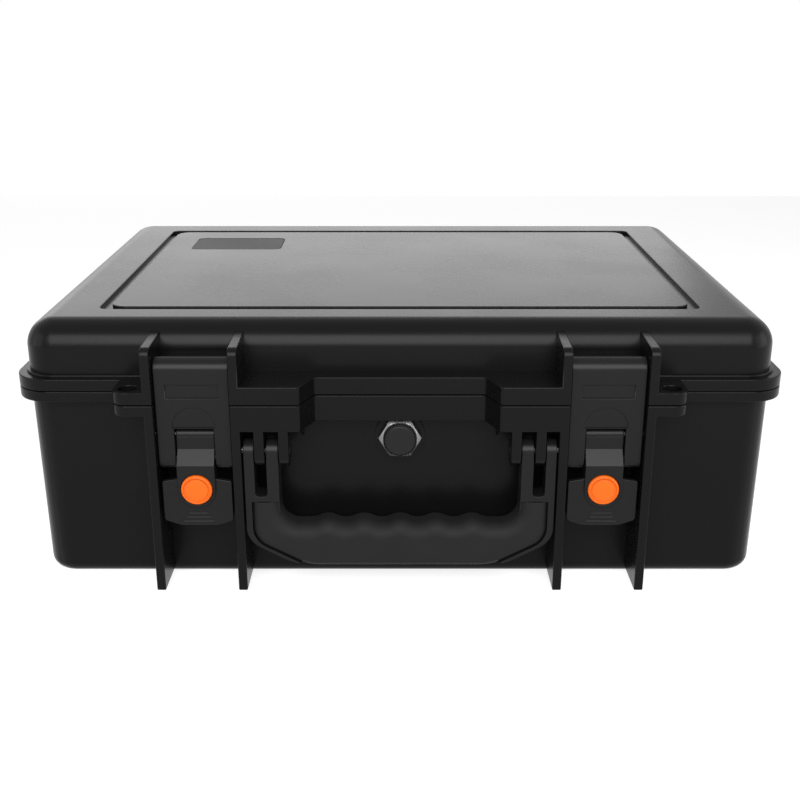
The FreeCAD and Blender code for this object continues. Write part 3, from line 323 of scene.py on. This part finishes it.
def rubber(name, colour):
    """Matt rubber with a fine grain."""
    made, kit, shader, where = new_material(name)
    patches = noise(kit, where, grain=0.02, detail=3.0)
    fine = noise(kit, where, grain=0.0006, detail=1.0)
    tint(kit, shader, patches, colour, darkest=0.8, lightest=1.2)
    kit.feed(shader["Roughness"], 0.62 + swing(patches, width=0.12))
    dimple(kit, shader, fine, deep=0.00004, strength=0.6)
    shader["Specular IOR Level"].default_value = 0.12
    return made


def dress(slot, material):
    """Gives the material to every solid of one slot."""
    for node, its_slot in SLOT_OF.items():
        if its_slot == slot:
            NODES[node].data.materials.clear()
            NODES[node].data.materials.append(material)


def repaint(node, material):
    """Gives one solid and its rounded copy a material of their own."""
    for piece in (NODES[node], bpy.data.objects[node + "_rounded"]):
        piece.data.materials[0] = material


# Meshes
# points this close together are one point
MERGE = 2e-6
# an edge this close to a neighbour lies against it, tested at these shares of its length
TOUCH = 3e-5
TOUCH_SHARES = (0.1, 0.5, 0.9)
# faces that turn less than this are one flat face, and edges that turn more are real edges
FLAT = math.radians(1)
SHARP = math.radians(25)
# a triangle of more than half this area is a fold where the cosine of its lean from its face is less
FOLD_AREA = 2e-6
FOLD_COSINE = 0.3
# shares of a rounding's width, tried in turn until no face folds
WIDTH_SHARES = (1.0, 0.75, 0.5, 0.3)
# how strongly large faces lead the shading of the small ones beside them
EVEN_WEIGHT = 60
# a face wider than this keeps its own direction where its shading leans further than this
BROAD = 0.0009
BENT = math.radians(12)
# facets of each rounded corner of a loop
CORNER_STEPS = 8


def linked(name, data):
    """A new object in the scene."""
    thing = bpy.data.objects.new(name, data)
    bpy.context.scene.collection.objects.link(thing)
    return thing


def add_piece(name, mesh, body, material):
    """Links a finished mesh as a piece that rides on a body."""
    piece = linked(name, mesh)
    if not mesh.materials:
        mesh.materials.append(material)
    for face in mesh.polygons:
        face.use_smooth = True
    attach(piece, body)
    return piece


def baked(holder, name):
    """The plain mesh that an object's modifiers give. The object is removed."""
    ready = holder.evaluated_get(bpy.context.evaluated_depsgraph_get())
    mesh = bpy.data.meshes.new_from_object(ready)
    mesh.name = name
    bpy.data.objects.remove(holder)
    if not mesh.polygons:
        raise RuntimeError(f"{name} has no faces")
    return mesh


def merged_shape(node):
    """A solid's mesh with its loose triangles joined and its flat faces whole."""
    source = NODES[node]
    shape = bmesh.new()
    shape.from_mesh(source.data)
    shape.transform(source.matrix_world)
    bmesh.ops.remove_doubles(shape, verts=shape.verts, dist=MERGE)
    bmesh.ops.dissolve_limit(shape, angle_limit=FLAT, verts=shape.verts, edges=shape.edges)
    for face in shape.faces:
        face.smooth = True
    shape.normal_update()
    for part in (shape.verts, shape.edges, shape.faces):
        part.index_update()
        part.ensure_lookup_table()
    return shape


def in_contact(edge, neighbours):
    """Whether an edge lies against solids that are moulded in one with its own."""
    for share in TOUCH_SHARES:
        point = edge.verts[0].co.lerp(edge.verts[1].co, share)
        if not any(tree.find_nearest(point, TOUCH)[0] for tree in neighbours):
            return False
    return True


def folded(shape):
    """How many faces fold over themselves."""
    bad = set()
    for first, second, third in shape.calc_loop_triangles():
        across = (second.vert.co - first.vert.co).cross(third.vert.co - first.vert.co)
        if across.length > FOLD_AREA and across.normalized().dot(first.face.normal) < FOLD_COSINE:
            bad.add(first.face.index)
    return len(bad)


def rounded_shape(node, width, segments, neighbours, spare):
    """The solid with its outer edges rounded, as widely as its faces allow up to the width."""
    plain = merged_shape(node)
    chosen = []
    for edge in plain.edges:
        if len(edge.link_faces) == 2 and edge.calc_face_angle() > SHARP:
            edge.smooth = False
            if edge.is_convex and not in_contact(edge, neighbours) and not (spare and spare(edge)):
                chosen.append(edge.index)
    allowed = folded(plain)
    for share in WIDTH_SHARES:
        shape = plain.copy()
        shape.edges.ensure_lookup_table()
        edges = [shape.edges[index] for index in chosen]
        for edge in edges:
            edge.smooth = True
        bmesh.ops.bevel(shape, geom=edges, offset=width * share, offset_type="OFFSET", segments=segments,
                        profile=0.5, affect="EDGES", clamp_overlap=False)
        shape.normal_update()
        if folded(shape) <= allowed:
            plain.free()
            return shape
        shape.free()
    return plain


def steadied(mesh):
    """Broad faces keep their own direction where shading round a corner would bend them."""
    normals = [corner.vector.copy() for corner in mesh.corner_normals]
    for face in mesh.polygons:
        longest = max((mesh.vertices[a].co - mesh.vertices[b].co).length for a, b in face.edge_keys)
        if face.area > BROAD * longest:
            for corner in face.loop_indices:
                if normals[corner].angle(face.normal, 0) > BENT:
                    normals[corner] = face.normal.copy()
    mesh.normals_split_custom_set(normals)


def left_twin(node):
    """The left solid that a right one mirrors, and any other solid itself."""
    return node.replace("right_", "left_", 1)


def rounded_copy(node, width, material, segments, neighbours=(), spare=None):
    """Shows a solid as a merged copy with rounded edges. The right half mirrors the left."""
    twin = left_twin(node)
    shape = rounded_shape(twin, width, segments, neighbours, spare)
    if node != twin:
        bmesh.ops.scale(shape, vec=(-1, 1, 1), verts=shape.verts)
        bmesh.ops.reverse_faces(shape, faces=shape.faces)
    merged = bpy.data.meshes.new(node + "_merged")
    shape.to_mesh(merged)
    shape.free()
    holder = linked(node + "_holder", merged)
    even = holder.modifiers.new("Even", "WEIGHTED_NORMAL")
    even.weight = EVEN_WEIGHT
    even.keep_sharp = True
    mesh = baked(holder, node + "_rounded")
    steadied(mesh)
    piece = add_piece(node + "_rounded", mesh, BODY_OF[node], material)
    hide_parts(node)


def round_all(slot, width, material, segments=2, one_moulding=False, spare=None):
    """Dresses a slot and shows its solids with rounded edges."""
    dress(slot, material)
    members = [node for node, its_slot in SLOT_OF.items() if its_slot == slot]
    trees = {}
    if one_moulding:
        for node in members:
            shape = merged_shape(node)
            trees[node] = BVHTree.FromBMesh(shape)
            shape.free()
    for node in members:
        twin = left_twin(node)
        neighbours = [tree for other, tree in trees.items()
                      if other != twin and BODY_OF[other] == BODY_OF[twin]]
        rounded_copy(node, width, material, segments, neighbours, spare)


def quarter_turn(steps):
    """The angles from 0 to 90 degrees in equal steps."""
    return [math.pi / 2 * step / steps for step in range(steps + 1)]


def full_turn(steps):
    """The angles once round in equal steps."""
    return [2 * math.pi * step / steps for step in range(steps)]


def plan_of(low, high):
    """Half the width, half the depth and the middle depth between two corners of a box."""
    return (high.x - low.x) / 2, (high.y - low.y) / 2, (high.y + low.y) / 2


def rounded_loop(half_x, half_y, radius, middle, height, edge_steps):
    """The points of a rectangle with rounded corners, anticlockwise from its lower right corner."""
    points = []
    corners = ((1, -1, -90), (1, 1, 0), (-1, 1, 90), (-1, -1, 180))
    arcs = []
    for sign_x, sign_y, start in corners:
        centre = Vector((sign_x * (half_x - radius), middle + sign_y * (half_y - radius), height))
        arc = []
        for step in range(CORNER_STEPS + 1):
            angle = math.radians(start + 90 * step / CORNER_STEPS)
            arc.append(centre + Vector((math.cos(angle), math.sin(angle), 0)) * radius)
        arcs.append(arc)
    for arc, following in zip(arcs, arcs[1:] + arcs[:1]):
        points += arc
        for step in range(1, edge_steps):
            points.append(arc[-1].lerp(following[0], step / edge_steps))
    return points


def lofted(name, loops, closed=False):
    """A mesh through loops with as many points each. Closed, the last loop joins the first."""
    shape = bmesh.new()
    rows = [[shape.verts.new(point) for point in loop] for loop in loops]
    pairs = list(zip(rows, rows[1:])) + ([(rows[-1], rows[0])] if closed else [])
    for low, high in pairs:
        for i in range(len(low)):
            j = (i + 1) % len(low)
            shape.faces.new((low[i], low[j], high[j], high[i]))
    if not closed:
        shape.faces.new(list(reversed(rows[0])))
        shape.faces.new(rows[-1])
    bmesh.ops.recalc_face_normals(shape, faces=shape.faces)
    mesh = bpy.data.meshes.new(name)
    shape.to_mesh(mesh)
    shape.free()
    return mesh


def grown_mesh(name, tree, values):
    """Runs a geometry tree on an empty mesh and gives the plain mesh that it makes."""
    holder = linked(name + "_holder", bpy.data.meshes.new(name + "_empty"))
    modifier = holder.modifiers.new("Grow", "NODES")
    modifier.node_group = tree
    for item in tree.interface.items_tree:
        if item.item_type == "SOCKET" and item.in_out == "INPUT":
            modifier[item.identifier] = values[item.name]
    return baked(holder, name)


class CASE_OT_shell(bpy.types.Operator):
    """Finish the lid, the base and their ribs"""

    bl_idname = "case.shell"
    bl_label = "Shell"

    # a radius just outside the low boss under the valve
    boss_round = 0.0155

    def execute(self, context):
        plastic = moulded_plastic("shell_plastic", context.scene.case_colours.shell, roughness=0.27,
                                  texture_deep=0.000012, texture_grain=0.0011, gloss=0.10)
        low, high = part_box("valve_cap")
        height = (low.z + high.z) / 2

        def at_boss(edge):
            """The low boss under the valve keeps its crisp edge."""
            return all(math.hypot(vert.co.x, vert.co.z - height) < self.boss_round for vert in edge.verts)

        round_all("shell", context.scene.case_sizes.shell_edge, plastic, one_moulding=True, spare=at_boss)
        return {"FINISHED"}


class CASE_OT_latches(bpy.types.Operator):
    """Finish the latches, the handle frame and the bare plate"""

    bl_idname = "case.latches"
    bl_label = "Latches"

    # the sill between the half-moon and the slot of a hook plate, and the plate's outer face
    latch_offset = 0.1193
    sill_height = 0.1082
    sill_reach = 0.0014
    sill_half = 0.0135
    plate_front = -0.1735
    # just over the underside of the handle frame's bar, which the grip covers
    core_height = 0.0235

    def execute(self, context):
        colours = context.scene.case_colours
        satin = moulded_plastic("latch_plastic", colours.latch, roughness=0.30,
                                texture_deep=0.000008, texture_grain=0.0009, gloss=0.13)
        round_all("latch", context.scene.case_sizes.latch_edge, satin, spare=self.stays_crisp)
        plate = moulded_plastic("plate_plastic", colours.shell, roughness=0.42,
                                texture_deep=0.000004, texture_grain=0.0009, gloss=0.055)
        repaint("badge_plate", plate)
        return {"FINISHED"}

    def stays_crisp(self, edge):
        """The narrow corners beside a hook plate's sill and the covered edges of the handle's bar."""
        middle = edge.verts[0].co.lerp(edge.verts[1].co, 0.5)
        if middle.z < self.core_height:
            return True
        return (abs(middle.z - self.sill_height) < self.sill_reach and middle.y < self.plate_front
                and abs(abs(middle.x) - self.latch_offset) < self.sill_half)


class CASE_OT_buttons(bpy.types.Operator):
    """Finish the push buttons and give each a raised face in its dish"""

    bl_idname = "case.buttons"
    bl_label = "Buttons"

    face_round = 0.0068
    face_high = 0.00055
    face_edge = 0.0003
    face_sunk = 0.0001
    face_steps = 64
    dish_deep = 0.0009

    def execute(self, context):
        bright = moulded_plastic("button_plastic", context.scene.case_colours.button, roughness=0.36,
                                 texture_deep=0.000006, texture_grain=0.0012, gloss=0.2)
        round_all("button", context.scene.case_sizes.fine_edge, bright, segments=3)
        for side in ("left", "right"):
            low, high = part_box(f"{side}_button")
            middle = (low + high) / 2
            mesh = self.face(f"{side}_button_face", Vector((middle.x, low.y + self.dish_deep, middle.z)))
            add_piece(f"{side}_button_face", mesh, f"{side}_button", bright)
        return {"FINISHED"}

    def face(self, name, floor):
        """A low round face that stands on the floor of the dish, a little sunk in it."""
        profile = [(self.face_round, self.face_sunk)]
        for angle in quarter_turn(steps=4):
            profile.append((self.face_round - self.face_edge * (1 - math.cos(angle)),
                            self.face_edge * (1 - math.sin(angle)) - self.face_high))
        loops = [[floor + Vector((radius * math.cos(turn), back, radius * math.sin(turn)))
                  for turn in full_turn(self.face_steps)] for radius, back in profile]
        return lofted(name, loops)


class CASE_OT_handle(bpy.types.Operator):
    """Finish the soft grip of the carry handle"""

    bl_idname = "case.handle"
    bl_label = "Handle grip"

    def execute(self, context):
        soft = rubber("grip_rubber", context.scene.case_colours.grip)
        round_all("grip", context.scene.case_sizes.latch_edge, soft)
        return {"FINISHED"}


class CASE_OT_metal(bpy.types.Operator):
    """Finish the pins, the clips, the vent valve and the seals"""

    bl_idname = "case.metal"
    bl_label = "Metal and seals"

    steel_colour = (0.30, 0.30, 0.31)
    valve_colour = (0.24, 0.24, 0.245)
    seal_colour = (0.014, 0.014, 0.014)
    hexagon_thick = 0.0056
    hexagon_steps = 96
    # the flat front of the hexagon is round, and its corners fall back behind it at this slope
    front_round = 0.0104
    corner_slope = 1.6
    # the seal sits in a groove round the stem
    groove_round = 0.0095
    groove_deep = 0.0012
    stem_round = 0.0078

    def execute(self, context):
        dress("steel", metal("pin_steel", self.steel_colour, roughness=0.34))
        turned = metal("valve_metal", self.valve_colour, roughness=0.24)
        dress("valve", turned)
        for node in ("valve_cap", "valve_nut"):
            rounded_copy(node, context.scene.case_sizes.fine_edge, turned, segments=3)
        body = add_piece("valve_body_turned", self.hexagon(), "base", turned)
        body.data.set_sharp_from_angle(angle=SHARP)
        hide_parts("valve_body")
        cap = moulded_plastic("valve_cap_plastic", context.scene.case_colours.latch, roughness=0.38,
                              texture_deep=0.000006, texture_grain=0.0008, gloss=0.16)
        repaint("valve_cap", cap)
        dress("seal", rubber("seal_rubber", self.seal_colour))
        return {"FINISHED"}

    def hexagon(self):
        """The valve's hexagon with its corners turned off in front, and the stem behind it."""
        low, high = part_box("valve_body")
        middle = (low + high) / 2
        flat = (high.z - low.z) / 2
        back = low.y + self.hexagon_thick
        groove = back - self.groove_deep
        turns = full_turn(self.hexagon_steps)
        corners = [flat / math.cos(turn % (math.pi / 3) - math.pi / 6) for turn in turns]
        rings = (
            [(self.front_round, low.y) for turn in turns],
            [(reach, low.y + (reach - self.front_round) / self.corner_slope) for reach in corners],
            [(reach, back) for reach in corners],
            [(self.groove_round, back) for turn in turns],
            [(self.groove_round, groove) for turn in turns],
            [(self.stem_round, groove) for turn in turns],
            [(self.stem_round, high.y) for turn in turns],
        )
        loops = [[Vector((middle.x + reach * math.cos(turn), y, middle.z + reach * math.sin(turn)))
                  for turn, (reach, y) in zip(turns, ring)] for ring in rings]
        return lofted("valve_body_turned", loops)


class CASE_OT_lid_foam(bpy.types.Operator):
    """Grow the waved foam pad of the lid"""

    bl_idname = "case.lid_foam"
    bl_label = "Lid foam"

    columns = 123
    rows = 87
    layers = 9
    back_round = 0.0135
    least_corner = 0.002
    rim_width = 0.012

    def execute(self, context):
        sizes = context.scene.case_sizes
        made = foam_material("lid_foam_cells", context.scene.case_colours.foam)
        dress("foam", made)
        low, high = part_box("lid_foam")
        half_x, half_y, middle = plan_of(low, high)
        mesh = grown_mesh("lid_foam_waved", self.tree(), {
            "Half width": half_x,
            "Half depth": half_y,
            "Middle": middle,
            "Low": low.z,
            "Thickness": high.z - low.z,
            "Corner": sizes.foam_corner,
            "Back round": self.back_round,
            "Wave length": sizes.foam_pitch,
            "Wave height": sizes.foam_wave,
            "Rim": self.rim_width,
            "Material": made,
        })
        piece = add_piece("lid_foam_waved", mesh, "lid", made)
        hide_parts("lid_foam")
        return {"FINISHED"}

    def tree(self):
        """A block of foam: its top edge rounded into the lid, its corners rounded, its underside waved."""
        words = ("Half width", "Half depth", "Middle", "Low", "Thickness", "Corner", "Back round",
                 "Wave length", "Wave height", "Rim")
        kit, given, end = geometry_tree("waved_foam", {**{word: FLOAT for word in words}, "Material": SOLID})
        block = kit.add("GeometryNodeMeshCube", None, {
            "Size": (2, 2, 1), "Vertices X": self.columns, "Vertices Y": self.rows, "Vertices Z": self.layers,
        }, out="Mesh")
        across, along, up = kit.split(kit.add("GeometryNodeInputPosition"))
        share = up + 0.5
        # the sides draw in towards the top along a quarter circle
        radius = given["Back round"]
        climb = ((share * given["Thickness"] - (given["Thickness"] - radius)) / radius).at_least(0).at_most(1)
        inset = radius * (1 - (1 - climb * climb).at_least(0).root())
        half_x = given["Half width"] - inset
        half_y = given["Half depth"] - inset
        # each square corner is pressed into a round one
        corner = (given["Corner"] - inset * 0.5).at_least(self.least_corner)
        flat_x = (across.size() * half_x).at_most(half_x - corner)
        flat_y = (along.size() * half_y).at_most(half_y - corner)
        over_x = (across.size() * half_x - flat_x) / corner
        over_y = (along.size() * half_y - flat_y) / corner
        new_x = across.sign() * (flat_x + over_x * (1 - over_y * over_y * 0.5).root() * corner)
        new_y = along.sign() * (flat_y + over_y * (1 - over_x * over_x * 0.5).root() * corner)
        # the waves fade out over the rim and towards the top
        edge_x = (half_x - new_x.size()) / given["Rim"]
        edge_y = (half_y - new_y.size()) / given["Rim"]
        near = edge_x.at_most(edge_y).at_least(0).at_most(1)
        fade = near * near * (3 - near * 2)
        turn = 2 * math.pi / given["Wave length"]
        wave = (new_x * turn).sine() * (new_y * turn).sine() * 0.5 + 0.5
        lift = wave * given["Wave height"] * fade * (1 - share)
        height = given["Low"] + share * given["Thickness"] + lift
        place = kit.add("ShaderNodeCombineXYZ", None, {"X": new_x, "Y": new_y + given["Middle"], "Z": height})
        moved = kit.add("GeometryNodeSetPosition", None, {"Geometry": block, "Position": place})
        plain = kit.add("GeometryNodeRealizeInstances", None, {"Geometry": moved})
        dressed = kit.add("GeometryNodeSetMaterial", None, {"Geometry": plain, "Material": given["Material"]})
        kit.feed(end, dressed)
        return kit.tree


class CASE_OT_base_foam(bpy.types.Operator):
    """Form the foam surround with its laptop pocket and the pad under it"""

    bl_idname = "case.base_foam"
    bl_label = "Base foam"

    pocket_side = 0.0271
    pocket_end = 0.0201
    pocket_corner = 0.014
    wall_steps = 12
    side_steps = 60
    # how far the pocket's cut walls bow inwards
    bow = 0.0012
    dent_reach = 0.021
    dent_deep = 0.0095
    dent_height = 0.0945
    dent_steep = 2.2
    pad_foot = 0.007
    pad_lip = 0.0015
    pad_side_steps = 24

    def execute(self, context):
        made = foam_material("base_foam_cells", context.scene.case_colours.foam)
        self.surround(context.scene.case_sizes, made)
        self.floor_pad(context.scene.case_sizes, made)
        return {"FINISHED"}

    def surround(self, sizes, made):
        """The thick ring of foam: up its outer wall, over the lip and down the pocket's wall."""
        low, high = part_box("base_foam")
        half_x, half_y, middle = plan_of(low, high)
        lip = sizes.foam_lip
        shoulder = high.z - lip
        shares = [step / self.wall_steps for step in range(self.wall_steps + 1)]
        lip_turns = quarter_turn(steps=5)[1:-1]
        outer = [(0.0, low.z + (shoulder - low.z) * share) for share in shares]
        outer += [(lip * (1 - math.cos(angle)), shoulder + lip * math.sin(angle)) for angle in lip_turns]
        outer.append((lip, high.z))
        inner = [(lip, high.z)]
        inner += [(lip * (1 - math.sin(angle)), shoulder + lip * math.cos(angle)) for angle in lip_turns]
        inner += [(-math.sin(math.pi * share) * self.bow, shoulder - (shoulder - low.z) * share)
                  for share in shares]
        loops = []
        for inset, height in outer:
            loop = rounded_loop(half_x - inset, half_y - inset, sizes.foam_corner - inset, middle, height,
                                self.side_steps)
            loops.append(self.dented(loop, low.y))
        for inset, height in inner:
            loops.append(rounded_loop(half_x - self.pocket_side + inset, half_y - self.pocket_end + inset,
                                      self.pocket_corner + inset, middle, height, self.side_steps))
        mesh = lofted("base_foam_surround", loops, closed=True)
        piece = add_piece("base_foam_surround", mesh, "base", made)
        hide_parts("base_foam")

    def dented(self, loop, front):
        """The nut of the valve presses a hollow into the front of the surround."""
        for point in loop:
            away = math.hypot(point.x, point.z - self.dent_height) / self.dent_reach
            if point.y < front + self.dent_deep and away < 1:
                point.y += self.dent_deep * min(1.0, self.dent_steep * (1 - away))
        return loop

    def floor_pad(self, sizes, made):
        """The thin pad on the floor, rounded below to fit the base and lightly rounded above."""
        low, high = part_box("base_floor_pad")
        half_x, half_y, middle = plan_of(low, high)
        foot, lip = self.pad_foot, self.pad_lip
        profile = [(foot * (1 - math.sin(angle)), low.z + foot * (1 - math.cos(angle)))
                   for angle in quarter_turn(steps=6)]
        profile += [(lip * (1 - math.cos(angle)), high.z - lip * (1 - math.sin(angle)))
                    for angle in quarter_turn(steps=4)]
        loops = [rounded_loop(half_x - inset, half_y - inset, sizes.foam_corner - inset, middle, height,
                              self.pad_side_steps) for inset, height in profile]
        mesh = lofted("base_floor_foam", loops)
        piece = add_piece("base_floor_foam", mesh, "base", made)
        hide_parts("base_floor_pad")


class CASE_OT_stage(bpy.types.Operator):
    """Set up the floor, the light and the camera"""

    bl_idname = "case.stage"
    bl_label = "Stage"

    lens = 50.45
    pitch = 19.59
    eye = (0.0, -0.7818, 0.3415)
    upward_shift = -0.00075
    sky = 0.10
    floor_half = 2.6
    floor_back = 1.3
    floor_lift = 0.70
    floor_to_matt = 0.9
    # name, place, aim, size, power
    plan = (
        ("back_strip", (-0.50, 2.2, 0.68), (0.0, 0.0, 0.16), (2.76, 0.80), 8.8),
        ("front_box", (0.0, -1.55, 1.02), (0.0, -0.15, 0.14), (1.8, 1.1), 46.0),
        ("left_box", (-1.7, -0.60, 0.55), (0.0, 0.0, 0.10), (1.2, 1.1), 6.0),
        ("right_box", (1.7, -0.60, 0.55), (0.0, 0.0, 0.10), (1.2, 1.1), 12.0),
    )

    def execute(self, context):
        self.floor(context.scene.case_colours.floor)
        self.lights()
        self.world(context.scene)
        self.camera(context.scene)
        return {"FINISHED"}

    def floor(self, pale):
        """Paper under the case, lifted to white where it is seen or mirrored."""
        mesh = bpy.data.meshes.new("floor")
        half, back = self.floor_half, self.floor_back
        corners = [(-half, -half, 0), (half, -half, 0), (half, back, 0), (-half, back, 0)]
        mesh.from_pydata(corners, [], [(0, 1, 2, 3)])
        floor = linked("floor", mesh)
        made = bpy.data.materials.new("floor_paper")
        made.use_nodes = True
        kit = Kit(made.node_tree)
        made.node_tree.nodes.remove(made.node_tree.nodes["Principled BSDF"])
        seen = seen_or_mirrored(kit)
        tone = mixed(kit, seen, rgba(pale, self.floor_to_matt), rgba(pale))
        paper = kit.add("ShaderNodeBsdfDiffuse", None, {"Color": tone})
        lift = seen * self.floor_lift
        white = kit.add("ShaderNodeEmission", None, {"Color": (1, 1, 1, 1), "Strength": lift})
        both = kit.add("ShaderNodeAddShader", None, {0: paper, 1: white})
        kit.feed(made.node_tree.nodes["Material Output"].inputs["Surface"], both)
        mesh.materials.append(made)

    def lights(self):
        """A strip behind the case, a large box in front and a box on each side."""
        for name, place, aim, size, power in self.plan:
            light = bpy.data.lights.new(name, "AREA")
            light.shape = "RECTANGLE"
            light.size, light.size_y = size
            light.energy = power
            lamp = linked(name, light)
            lamp.visible_camera = False
            lamp.location = place
            way = Vector(aim) - Vector(place)
            lamp.rotation_euler = way.to_track_quat("-Z", "Y").to_euler()

    def world(self, scene):
        """White where it is seen or mirrored, and dim as a light."""
        world = bpy.data.worlds.new("studio")
        world.use_nodes = True
        scene.world = world
        kit = Kit(world.node_tree)
        seen = seen_or_mirrored(kit)
        background = world.node_tree.nodes["Background"]
        kit.feed(background.inputs["Color"], (1, 1, 1, 1))
        kit.feed(background.inputs["Strength"], self.sky + seen * (1 - self.sky))

    def camera(self, scene):
        """Looks down at the latch side from straight in front."""
        eye = bpy.data.cameras.new("camera")
        eye.sensor_width = 36.0
        eye.lens = self.lens
        eye.shift_y = self.upward_shift
        eye.clip_start = 0.01
        eye.clip_end = 50.0
        stand = linked("camera", eye)
        stand.location = self.eye
        stand.rotation_euler = (math.radians(90 - self.pitch), 0, 0)
        scene.camera = stand


OPERATORS = (
    CASE_OT_stage,
    CASE_OT_shell,
    CASE_OT_latches,
    CASE_OT_buttons,
    CASE_OT_handle,
    CASE_OT_metal,
    CASE_OT_lid_foam,
    CASE_OT_base_foam,
)


class CASE_PT_panel(bpy.types.Panel):
    """Lists the sizes, the colours and the steps that dress the case"""

    bl_label = "Laptop hard case"
    bl_idname = "CASE_PT_panel"
    bl_space_type = "VIEW_3D"
    bl_region_type = "UI"
    bl_category = "Case"

    def draw(self, context):
        for group in (context.scene.case_sizes, context.scene.case_colours):
            for word in group.__annotations__:
                self.layout.prop(group, word)
        for operator in OPERATORS:
            self.layout.operator(operator.bl_idname)


CLASSES = (CaseSizes, CaseColours) + OPERATORS + (CASE_PT_panel,)


def register():
    for made in CLASSES:
        bpy.utils.register_class(made)
    bpy.types.Scene.case_sizes = bpy.props.PointerProperty(type=CaseSizes)
    bpy.types.Scene.case_colours = bpy.props.PointerProperty(type=CaseColours)


def unregister():
    del bpy.types.Scene.case_colours
    del bpy.types.Scene.case_sizes
    for made in reversed(CLASSES):
        bpy.utils.unregister_class(made)


def main():
    register()
    bpy.context.scene.view_settings.view_transform = "Standard"
    for operator in OPERATORS:
        group, name = operator.bl_idname.split(".")
        getattr(getattr(bpy.ops, group), name)()


if __name__ == "__main__":
    main()
